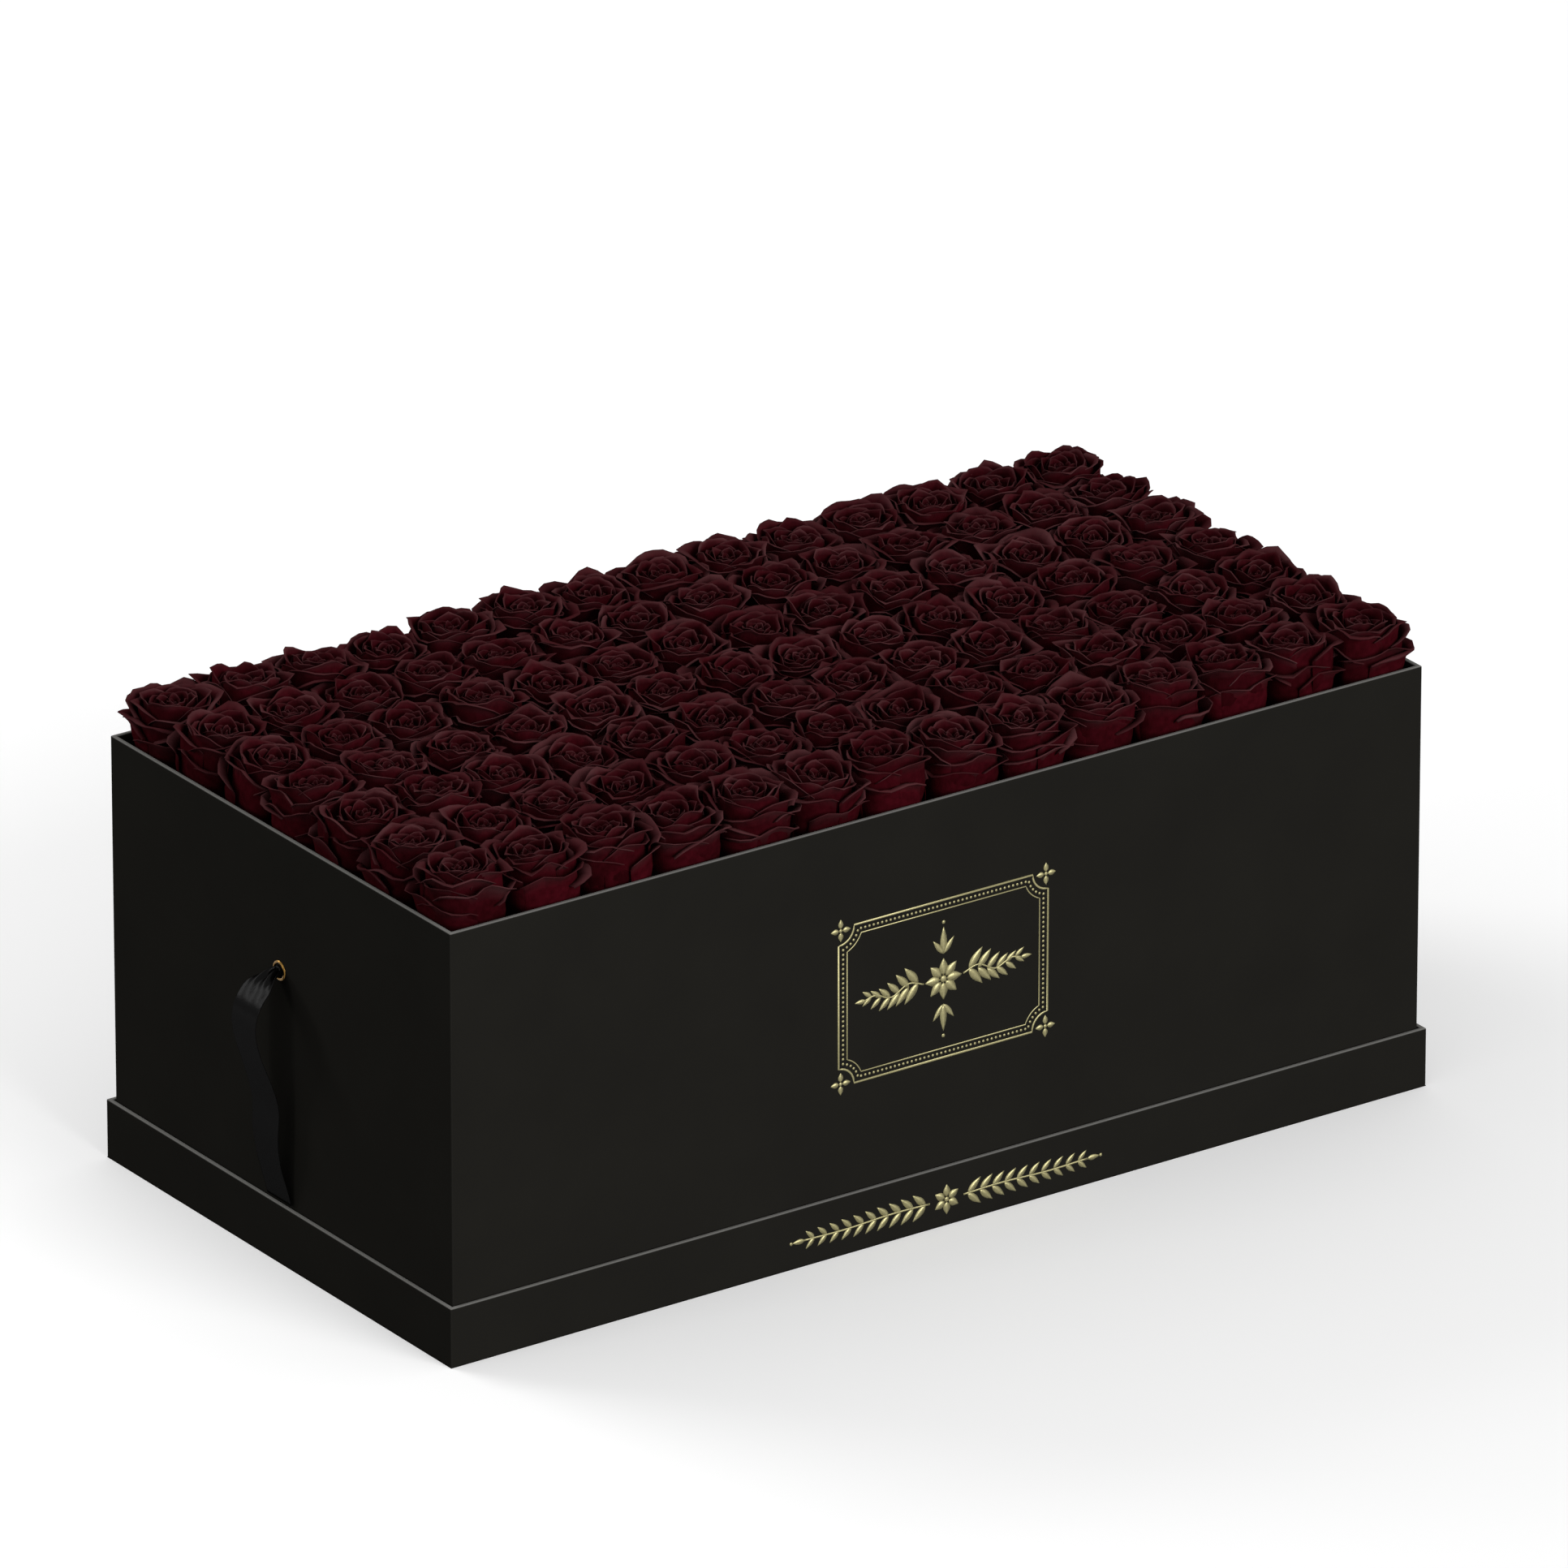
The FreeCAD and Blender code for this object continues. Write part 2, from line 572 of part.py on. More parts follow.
base_tray()
flower_case(eyelet_drill())
for side_name, side in (("left", -1), ("right", 1)):
    eyelet(side_name, side)
    ribbon_knot(side_name, side)
    ribbon(side_name, side)
riser()
rose_grid = rose_places()
foam(rose_grid)
roses(rose_grid)
doc.recompute()

for item in doc.Objects:
    if "Invalid" in item.State or "Error" in item.State:
        raise RuntimeError(f"{item.Label} failed to build: {item.State}")
for piece in named_parts:
    if piece.Shape.isNull() or not piece.Shape.isValid():
        raise RuntimeError(f"{piece.Label} has no valid shape")

os.makedirs("parts", exist_ok=True)
for piece in named_parts:
    piece.Shape.exportStep(f"parts/{piece.Label}.step")
    print(f"{piece.Label}: {len(piece.Shape.Solids)} solids, {piece.Shape.Volume:.0f} cubic millimetres")
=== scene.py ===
"""A long black paper-covered flower box, packed with preserved roses and standing in its shallow tray.

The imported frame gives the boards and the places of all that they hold. This script adds what the eye
meets: the paper skins, the roses, the satin ribbons, the brass eyelets and the gilt print, with their
finishes, and a plain studio round them. Forms are drawn in millimetres, which MM turns to metres; the
finishes' bumps and the studio are in metres.
"""

import math

import bpy
import numpy as np
from mathutils import Matrix, Vector


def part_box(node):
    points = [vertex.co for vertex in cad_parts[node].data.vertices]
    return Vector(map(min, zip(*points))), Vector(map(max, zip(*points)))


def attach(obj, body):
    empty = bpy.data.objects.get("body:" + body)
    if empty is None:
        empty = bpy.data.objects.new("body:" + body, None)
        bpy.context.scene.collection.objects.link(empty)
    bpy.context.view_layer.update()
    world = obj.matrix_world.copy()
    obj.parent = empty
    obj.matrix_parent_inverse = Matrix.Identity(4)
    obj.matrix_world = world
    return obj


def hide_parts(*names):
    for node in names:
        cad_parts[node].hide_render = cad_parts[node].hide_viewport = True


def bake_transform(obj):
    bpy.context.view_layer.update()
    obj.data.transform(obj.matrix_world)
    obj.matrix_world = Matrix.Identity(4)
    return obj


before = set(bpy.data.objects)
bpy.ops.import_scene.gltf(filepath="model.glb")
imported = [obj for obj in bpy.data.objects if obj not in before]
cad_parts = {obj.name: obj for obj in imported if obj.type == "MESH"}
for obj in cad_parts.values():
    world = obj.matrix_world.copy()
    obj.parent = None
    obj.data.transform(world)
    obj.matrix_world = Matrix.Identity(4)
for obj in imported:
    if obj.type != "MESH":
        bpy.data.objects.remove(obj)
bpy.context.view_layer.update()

MM = 0.001


def limits(node):
    """Lowest and highest corner of a frame node, in millimetres."""
    low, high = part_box(node)
    return np.array(low) / MM, np.array(high) / MM


# Places read from the frame
BOX_LOW, BOX_HIGH = limits("box_wrap")
TRAY_LOW, TRAY_HIGH = limits("tray_wrap")
FOAM_TOP = limits("foam_brick_1")[1][2]
EYELET_LOW, EYELET_HIGH = limits("eyelet_left")
EYELET_HEIGHT = (EYELET_LOW[2] + EYELET_HIGH[2]) / 2
KNOT_HIGH = limits("ribbon_knot_left")[1]

# Paper-covered board; a hold is how far from a fold the points stand that keep the flat beside it flat
PAPER = 0.3
RIM = 3.1
TURN_IN = 20.0
TURN_UNDER = 15.0
EDGE_RADIUS = 0.9
EDGE_STEPS = 6
TIGHT_RADIUS = 0.15
FOOT_FOLD = 0.4
FOOT_HOLD = 2.0
RIM_HOLD = 3.0
CORNER_HOLD = 4.0
# Painted rim highlight: from this far below the rim to full so far below it, and its share at the corners
HIGHLIGHT_REACH = 0.75 * EDGE_RADIUS
HIGHLIGHT_FULL = 0.05
CORNER_HIGHLIGHT = 0.02

# Rose heads and the cells that they stand in
ROSE_COLUMNS = 14
ROSE_ROWS = 7
ROSE_SEED = 40
PITCH_X = (BOX_HIGH[0] - BOX_LOW[0] - 2 * RIM) / ROSE_COLUMNS
PITCH_Y = (BOX_HIGH[1] - BOX_LOW[1] - 2 * RIM) / ROSE_ROWS
# A head leans by at most this slope about a height
LEAN_MOST = 0.09
LEAN_HEIGHT = 20.0
# A cell's room and give, in half cells, and the heights between which it flares
CELL_POWER = 6.0
CELL_ROOM = 0.96
CELL_GIVE = 0.08
CELL_FLARE = 0.08
FLARE_HEIGHTS = (22.0, 36.0)

# Petals
PETALS = 30
PETAL_ACROSS = 11
PETAL_ALONG = 10
PETAL_THICKNESS = 0.4
PETAL_LENGTH = 50.0
# From the outermost petal to the heart: guard petals, cup petals, then the many thin ones inside
PETAL_RANKS = (0.0, 0.2, 0.45, 1.0)
PETAL_RADII = (22.6, 22.6, 18.4, 1.6)
PETAL_ROLLS = (6.2, 3.6, 1.4, 0.4)
PETAL_CRESTS = (33.5, 47.0, 50.5, 46.5)
PETAL_HALF_ANGLES = (58.0, 56.0, 62.0, 85.0)
GOLDEN_TURN = math.radians(137.508)
STAND_SPREAD = 0.28
CREST_SPREAD = (-3.6, 2.8)
LIP_CROWDING = 1.35
LIP_FALL = 0.14
CALYX_SHARE = 0.32
CALYX_RADIUS = 0.6
# Heights between which painted shade lifts: the colour goes from a dark one, painted as the shade low in
# the folds, to that of the open faces
SHADE_HEIGHTS = (2.0, 40.0)
# The lip's roll starts at this share of the petal's length and turns so many degrees, more outside
ROLL_START = 0.7
ROLL_TURN = 58.0
OUTER_ROLL_TURN = 50.0
# A pointed lip runs straight from its tip to this angle at either side; the mean keeps the radius
TIP_CORNER = math.radians(40)
TIP_MEAN = 0.87
TIP_WIDTH = 0.16
TIP_REACH = 1.6
TIP_DROOP = (-0.8, 1.2)
# Millimetres at the heart, and what the outermost petal has on top of that
RUFFLE = (0.3, 1.5)
CRIMP = (0.3, 0.4)
LAP = (0.5, 0.7)

# Eyelets, whose flange is drawn a trim smaller than the frame's, as in the photograph, and stop knots
FLANGE_TRIM = 0.7
EYELET_BORE = 4.4
EYELET_WALL = 0.6
EYELET_LIP = 0.9
DOME_STEPS = 13
LIP_STEPS = 9
ROUND_STEPS = 48
KNOT_STEPS = 41
KNOT_MOUTH = 1.5
KNOT_NECK = 3.2
KNOT_CREASE = 0.07
KNOT_FIT = 0.93
KNOT_POLE = 0.02
# The knot's radius and length on the ribbon's flat pattern
KNOT_PATTERN = (4.0, 20.0)

# Ribbons: reach from the end wall and drop below the eyelet, point by point down the hang
RIBBON_WIDTH = 25.0
RIBBON_THICKNESS = 0.35
RIBBON_STEPS = 96
RIBBON_ACROSS = 49
RIBBON_ROUTE = np.array([
    (-3.0, 0.0), (3.7, 0.3), (8.4, 2.0), (14.0, 5.8), (19.6, 11.4), (23.8, 19.4), (25.2, 29.4),
    (22.4, 43.8), (16.2, 62.8), (11.8, 80.9), (11.6, 100.0), (9.0, 117.3), (4.2, 135.0), (1.9, 144.6),
])
# Pleats, creases and sway, by the length of ribbon from its start
RIBBON_FOLDS = 5
RIBBON_NECK = 6.0
RIBBON_SPREAD = (-1.0, 23.0)
PLEAT_FADE = (2.0, 24.0)
CREASE_DEPTH = 0.12
CREASE_MIDDLE = 20.0
CREASE_RUN = 13.0
CREASE_WAVES = 14.0
CREASE_SLANT = 0.05
SWAY_START = 30.0
SWAY_RUN = 21.0
SWAY_ASIDE = 1.5
SWAY_TWIST = 0.07

# Points that a curve is first worked out at, for each point that it is given
CURVE_FINENESS = 40


# Arrays to meshes

def smoothstep(low, high, value):
    """0 below low, 1 above high and an easy S between them."""
    share = np.clip((value - low) / (high - low), 0.0, 1.0)
    return share * share * (3.0 - 2.0 * share)


def grid_quads(index, wrap_rows=False, wrap_columns=False):
    """Quads between the neighbours of an index grid; a wrapped side joins its last line to its first."""
    if wrap_rows:
        index = np.vstack((index, index[:1]))
    if wrap_columns:
        index = np.hstack((index, index[:, :1]))
    corners = (index[:-1, :-1], index[:-1, 1:], index[1:, 1:], index[1:, :-1])
    return np.stack(corners, axis=-1).reshape(-1, 4)


def zip_ring(ring):
    """Quads that close a ring of an even number of points from side to side."""
    left, right = np.split(ring, 2)
    right = right[::-1]
    return np.stack((left[:-1], left[1:], right[1:], right[:-1]), axis=-1)


def shell(middle, thickness):
    """Thin closed sheets: every point of a mid-surface grid goes half the thickness along the surface's
    normal to either side, and a band of quads round the border joins the two sides. The last three axes
    are along, across and xyz; any axes before them count separate sheets."""
    across = np.gradient(middle, axis=-2)
    along = np.gradient(middle, axis=-3)
    normal = np.cross(across, along)
    normal /= np.linalg.norm(normal, axis=-1, keepdims=True) + 1e-12
    half = normal * np.asarray(thickness)[..., None] / 2
    points = np.stack((middle + half, middle - half), axis=-4)
    rows, columns = middle.shape[-3:-1]
    front, back = np.arange(2 * rows * columns).reshape(2, rows, columns)
    borders = [
        np.concatenate((side[0, :-1], side[:-1, -1], side[-1, :0:-1], side[:0:-1, 0]))
        for side in (front, back)
    ]
    edge = grid_quads(np.stack(borders), wrap_columns=True)[:, (0, 3, 2, 1)]
    one = np.vstack((grid_quads(front), grid_quads(back)[:, ::-1], edge))
    sheets = points.reshape(-1, 2 * rows * columns, 3)
    starts = np.arange(len(sheets))[:, None, None] * (2 * rows * columns)
    return sheets.reshape(-1, 3), (one[None] + starts).reshape(-1, 4)


def make_piece(name, points, quads, material, smooth=True):
    """A mesh piece at the origin from points in millimetres and quads of their indices."""
    mesh = bpy.data.meshes.new(name)
    mesh.vertices.add(len(points))
    mesh.vertices.foreach_set("co", (points * MM).astype(np.float32).ravel())
    mesh.loops.add(quads.size)
    mesh.loops.foreach_set("vertex_index", quads.astype(np.int32).ravel())
    mesh.polygons.add(len(quads))
    mesh.polygons.foreach_set("loop_start", np.arange(0, quads.size, 4, dtype=np.int32))
    mesh.update(calc_edges=True)
    mesh.validate()
    if smooth:
        mesh.shade_smooth()
    mesh.materials.append(material)
    piece = bpy.data.objects.new(name, mesh)
    bpy.context.scene.collection.objects.link(piece)
    return piece


def paint(piece, attribute, values):
    """One number for every point of a piece, which its material reads by name."""
    layer = piece.data.attributes.new(attribute, "FLOAT", "POINT")
    layer.data.foreach_set("value", np.asarray(values, np.float32).ravel())


def lay_pattern(piece, name, places):
    """A UV map whose two numbers for every point are lengths in metres on the opened-out surface."""
    layer = piece.data.uv_layers.new(name=name)
    order = np.empty(len(piece.data.loops), np.int32)
    piece.data.loops.foreach_get("vertex_index", order)
    layer.data.foreach_set("uv", (places[order] * MM).astype(np.float32).ravel())


def smooth_curve(points, samples):
    """An even curve through points: between two of them it blends their neighbours by cubic weights
    (half of 2b + (c-a)t + (2a-5b+4c-d)t2 + (3b-a-3c+d)t3), and is then read at equal steps of length."""
    ends = np.vstack((2 * points[0] - points[1], points, 2 * points[-1] - points[-2]))
    place = np.linspace(0, len(points) - 1 - 1e-9, CURVE_FINENESS * len(points))
    first = place.astype(int)
    t = (place - first)[:, None]
    a, b, c, d = (ends[first + k] for k in range(4))
    curve = (2 * b + (c - a) * t + (2 * a - 5 * b + 4 * c - d) * t**2 + (3 * b - a - 3 * c + d) * t**3) / 2
    travel = np.concatenate(([0], np.cumsum(np.linalg.norm(np.diff(curve, axis=0), axis=1))))
    steps = np.linspace(0, travel[-1], samples)
    return np.stack([np.interp(steps, travel, axis) for axis in curve.T], axis=-1), steps


# Finishes

def linear(code):
    """An sRGB hex colour as linear red, green, blue and full alpha."""
    tones = [int(code[k:k + 2], 16) / 255 for k in (1, 3, 5)]
    return [t / 12.92 if t <= 0.04045 else ((t + 0.055) / 1.055) ** 2.4 for t in tones] + [1.0]


def add(tree, kind, inputs=(), **settings):
    """One shader node of a kind, with its settings; an input is linked where a socket is given, and set
    otherwise."""
    node = tree.nodes.new("ShaderNode" + kind)
    for name, value in settings.items():
        setattr(node, name, value)
    for name, value in dict(inputs).items():
        if isinstance(value, bpy.types.NodeSocket):
            tree.links.new(value, node.inputs[name])
        else:
            node.inputs[name].default_value = value
    return node


def blank_material(name):
    """An empty node material and its tree."""
    material = bpy.data.materials.new(name)
    material.use_nodes = True
    material.node_tree.nodes.clear()
    return material, material.node_tree


def dress(tree, inputs):
    """The Principled surface that closes a material."""
    surface = add(tree, "BsdfPrincipled", inputs)
    add(tree, "OutputMaterial", {"Surface": surface.outputs["BSDF"]})


def per_metre(size_mm):
    """Texture scale at which one feature of a pattern is size_mm across."""
    return 1.0 / (size_mm * MM)


def black_paper():
    """Uncoated black wrapping paper, glued over board: matt, with a fine felt tooth and faint clouding,
    and a lighter grey line painted along the folded rim as a highlight, faint at the corners."""
    material, tree = blank_material("black_wrapping_paper")
    place = add(tree, "TexCoord").outputs["Object"]
    # The 0.2 mm tooth of the sheet is drawn at 0.9 mm so that it shows
    tooth = add(tree, "TexNoise", {"Vector": place, "Scale": per_metre(0.9), "Detail": 4.0})
    cloud = add(tree, "TexNoise", {"Vector": place, "Scale": per_metre(60), "Detail": 3.0})
    sheet = add(tree, "MixRGB", {
        "Fac": cloud.outputs["Fac"], "Color1": linear("#1b1a18"), "Color2": linear("#201f1c")})
    edge = add(tree, "Attribute", attribute_name="edge")
    # Painted highlight: where the edge attribute is up, along the rim folds, the paper turns a lighter
    # grey.
    edge_highlight = add(tree, "MixRGB", {
        "Fac": edge.outputs["Fac"], "Color1": sheet.outputs["Color"], "Color2": linear("#73726f")})
    bump = add(tree, "Bump", {
        "Height": tooth.outputs["Fac"], "Strength": 0.12, "Distance": 0.0004})
    dress(tree, {
        "Base Color": edge_highlight.outputs["Color"], "Roughness": 0.8, "Specular IOR Level": 0.0,
        "Normal": bump.outputs["Normal"]})
    return material


def petal_velvet():
    """Preserved rose petal, dyed deep burgundy: velvety, crimson on the broad outer faces, painted darker
    low down as the shade in the folds, and paler and greyer along the lips, partly the edges' own faded
    colour and partly a painted sheen, with fine veins up the petal."""
    material, tree = blank_material("preserved_rose_petal")
    flat = add(tree, "UVMap", uv_map="petal").outputs["UV"]
    lip = add(tree, "Attribute", attribute_name="lip")
    height = add(tree, "Attribute", attribute_name="height")
    tone = add(tree, "Attribute", attribute_name="tone")
    drawn = add(tree, "Mapping", {"Vector": flat, "Scale": (1.0, 0.12, 1.0)})
    # Veins lie 0.6 mm apart and are drawn at 1.2 mm so that they show
    veins = add(tree, "TexNoise", {
        "Vector": drawn.outputs["Vector"], "Scale": per_metre(1.2), "Detail": 4.0, "Roughness": 0.6})
    blotch = add(tree, "TexNoise", {"Vector": flat, "Scale": per_metre(5), "Detail": 5.0})
    # Painted shade: the petal colour is darkest low down, as the shade in the folds, and lighter higher up.
    body = add(tree, "MixRGB", {
        "Fac": height.outputs["Fac"], "Color1": linear("#1d0405"), "Color2": linear("#390a11")})
    toned = add(tree, "MixRGB", {
        "Fac": tone.outputs["Fac"], "Color1": body.outputs["Color"], "Color2": linear("#460c15")})
    patchy = add(tree, "MixRGB", {
        "Fac": blotch.outputs["Fac"], "Color1": linear("#706a6a"), "Color2": linear("#ffffff")})
    dyed = add(tree, "MixRGB", {
        "Fac": 1.0, "Color1": toned.outputs["Color"], "Color2": patchy.outputs["Color"]},
        blend_type="MULTIPLY")
    # Paler, greyer lips: partly the petal edges' own faded colour, partly a painted sheen.
    dry_and_sheen_lips = add(tree, "MixRGB", {
        "Fac": lip.outputs["Fac"], "Color1": dyed.outputs["Color"], "Color2": linear("#4f3032")})
    bump = add(tree, "Bump", {
        "Height": veins.outputs["Fac"], "Strength": 0.35, "Distance": 0.0005})
    dress(tree, {
        "Base Color": dry_and_sheen_lips.outputs["Color"], "Roughness": 0.8, "Specular IOR Level": 0.0,
        "Sheen Weight": 0.02, "Sheen Roughness": 0.5, "Sheen Tint": linear("#b06862"),
        "Normal": bump.outputs["Normal"]})
    return material


def black_satin():
    """Black polyester satin ribbon: smooth floats along its length give a soft bright sheen on the
    turns, over a fine weave."""
    material, tree = blank_material("black_satin_ribbon")
    flat = add(tree, "UVMap", uv_map="ribbon").outputs["UV"]
    # The threads lie 0.12 mm apart and are drawn at 0.5 mm so that they show
    drawn = add(tree, "Mapping", {"Vector": flat, "Scale": (1.0, 0.06, 1.0)})
    floats = add(tree, "TexNoise", {
        "Vector": drawn.outputs["Vector"], "Scale": per_metre(0.5), "Detail": 2.0})
    shade = add(tree, "MixRGB", {
        "Fac": floats.outputs["Fac"], "Color1": linear("#050505"), "Color2": linear("#0c0b0b")})
    bump = add(tree, "Bump", {
        "Height": floats.outputs["Fac"], "Strength": 0.2, "Distance": 0.0002})
    dress(tree, {
        "Base Color": shade.outputs["Color"], "Roughness": 0.6, "Specular IOR Level": 0.0,
        "Coat Weight": 0.027, "Coat IOR": 2.4, "Coat Roughness": 0.22,
        "Normal": bump.outputs["Normal"], "Coat Normal": bump.outputs["Normal"]})
    return material


def gilt_brass():
    """Gilt brass, pressed and polished: bright warm metal with faint handling marks."""
    material, tree = blank_material("polished_gilt_brass")
    place = add(tree, "TexCoord").outputs["Object"]
    marks = add(tree, "TexNoise", {"Vector": place, "Scale": per_metre(1.5), "Detail": 5.0})
    rough = add(tree, "MapRange", {
        "Value": marks.outputs["Fac"], "To Min": 0.16, "To Max": 0.34})
    tint = add(tree, "MixRGB", {
        "Fac": marks.outputs["Fac"], "Color1": linear("#5e4520"), "Color2": linear("#8a6a36")})
    dress(tree, {
        "Base Color": tint.outputs["Color"], "Metallic": 1.0, "Roughness": rough.outputs["Result"]})
    return material


def gilt_foil():
    """Hot-stamped pale gold foil on paper: a satin metal film that takes the paper's tooth."""
    material, tree = blank_material("pale_gold_foil")
    place = add(tree, "TexCoord").outputs["Object"]
    grain = add(tree, "TexNoise", {"Vector": place, "Scale": per_metre(1.1), "Detail": 4.0})
    tint = add(tree, "MixRGB", {
        "Fac": grain.outputs["Fac"], "Color1": linear("#7f7955"), "Color2": linear("#a59f78")})
    bump = add(tree, "Bump", {
        "Height": grain.outputs["Fac"], "Strength": 0.25, "Distance": 0.0003})
    dress(tree, {
        "Base Color": tint.outputs["Color"], "Metallic": 1.0, "Roughness": 0.42,
        "Normal": bump.outputs["Normal"]})
    return material


def greyboard():
    """Recycled greyboard: dull grey-brown, flecked, with a soft fibrous face."""
    material, tree = blank_material("recycled_greyboard")
    place = add(tree, "TexCoord").outputs["Object"]
    fibre = add(tree, "TexNoise", {"Vector": place, "Scale": per_metre(1.4), "Detail": 6.0})
    tint = add(tree, "MixRGB", {
        "Fac": fibre.outputs["Fac"], "Color1": linear("#5f5a52"), "Color2": linear("#8f897d")})
    bump = add(tree, "Bump", {
        "Height": fibre.outputs["Fac"], "Strength": 0.3, "Distance": 0.0003})
    dress(tree, {
        "Base Color": tint.outputs["Color"], "Roughness": 0.9, "Specular IOR Level": 0.2,
        "Normal": bump.outputs["Normal"]})
    return material


def stay_tape():
    """Gummed paper stay tape: smooth brown kraft with long pale fibres."""
    material, tree = blank_material("gummed_kraft_tape")
    place = add(tree, "TexCoord").outputs["Object"]
    drawn = add(tree, "Mapping", {"Vector": place, "Scale": (1.0, 1.0, 0.1)})
    fibre = add(tree, "TexNoise", {
        "Vector": drawn.outputs["Vector"], "Scale": per_metre(0.8), "Detail": 5.0})
    tint = add(tree, "MixRGB", {
        "Fac": fibre.outputs["Fac"], "Color1": linear("#8a6a45"), "Color2": linear("#b08f66")})
    dress(tree, {"Base Color": tint.outputs["Color"], "Roughness": 0.7, "Specular IOR Level": 0.3})
    return material


def dry_foam():
    """Dry floral foam: dull dark green, crumbly, with open 1 mm cells."""
    material, tree = blank_material("dry_floral_foam")
    place = add(tree, "TexCoord").outputs["Object"]
    cells = add(tree, "TexVoronoi", {"Vector": place, "Scale": per_metre(1.0)})
    tint = add(tree, "MixRGB", {
        "Fac": cells.outputs["Distance"], "Color1": linear("#14201a"), "Color2": linear("#26362b")})
    bump = add(tree, "Bump", {
        "Height": cells.outputs["Distance"], "Strength": 0.6, "Distance": 0.0006})
    dress(tree, {
        "Base Color": tint.outputs["Color"], "Roughness": 0.95, "Specular IOR Level": 0.1,
        "Normal": bump.outputs["Normal"]})
    return material


def dried_stem():
    """Dried and dyed rose stem: dark brown-green bark with long grooves."""
    material, tree = blank_material("dried_rose_stem")
    place = add(tree, "TexCoord").outputs["Object"]
    drawn = add(tree, "Mapping", {"Vector": place, "Scale": (1.0, 1.0, 0.15)})
    bark = add(tree, "TexNoise", {
        "Vector": drawn.outputs["Vector"], "Scale": per_metre(0.7), "Detail": 4.0})
    tint = add(tree, "MixRGB", {
        "Fac": bark.outputs["Fac"], "Color1": linear("#1d1710"), "Color2": linear("#3d3a22")})
    bump = add(tree, "Bump", {
        "Height": bark.outputs["Fac"], "Strength": 0.5, "Distance": 0.0003})
    dress(tree, {
        "Base Color": tint.outputs["Color"], "Roughness": 0.75, "Normal": bump.outputs["Normal"]})
    return material


PAPER_BLACK = black_paper()
PETAL = petal_velvet()
SATIN = black_satin()
BRASS = gilt_brass()
FOIL = gilt_foil()
BOARD = greyboard()
TAPE = stay_tape()
FOAM = dry_foam()
STEM = dried_stem()

# Finishes of the frame nodes, by the first of these starts that fits a node's name
NODE_FINISHES = {
    "tray_bottom_sheet": PAPER_BLACK, "tray_": BOARD, "box_": BOARD, "corner_stays": TAPE,
    "eyelet_": BRASS, "ribbon_": SATIN, "riser_": BOARD, "platform_": BOARD, "foam_": FOAM,
    "rose_": PETAL, "stem_": STEM,
}
for node_name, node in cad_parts.items():
    finish = next(NODE_FINISHES[start] for start in NODE_FINISHES if node_name.startswith(start))
    node.data.materials.clear()
    node.data.materials.append(finish)


# Paper skins

def corner_path():
    """The four corners of a rectangle seen from above, anticlockwise: for every point the way out of the
    board, its slide along the straight side, the corner that it belongs to, and a sine that is 1 in the
    middle of the corner's bend and 0 at its ends."""
    turns = np.concatenate(([0.0], np.linspace(0, 1, EDGE_STEPS + 1), [1.0]))
    angle = (np.arange(4)[:, None] + turns) * math.pi / 2
    way = np.stack((np.cos(angle), np.sin(angle)), axis=-1)
    slide = np.zeros_like(way)
    slide[:, 0] = CORNER_HOLD * np.stack((way[:, 0, 1], -way[:, 0, 0]), axis=-1)
    slide[:, -1] = CORNER_HOLD * np.stack((-way[:, -1, 1], way[:, -1, 0]), axis=-1)
    corner = np.broadcast_to(np.array(((1, 1), (-1, 1), (-1, -1), (1, -1)))[:, None], way.shape)
    rounds = np.tile(np.sin(math.pi * turns), 4)
    return way.reshape(-1, 2), slide.reshape(-1, 2), corner.reshape(-1, 2), rounds


def round_corner(out, height, start, end):
    """Profile points round one fold: an arc of EDGE_RADIUS about (out, height) between two angles."""
    angle = np.radians(np.linspace(start, end, EDGE_STEPS + 1))
    return np.stack((out + EDGE_RADIUS * np.cos(angle), height + EDGE_RADIUS * np.sin(angle)), axis=-1)


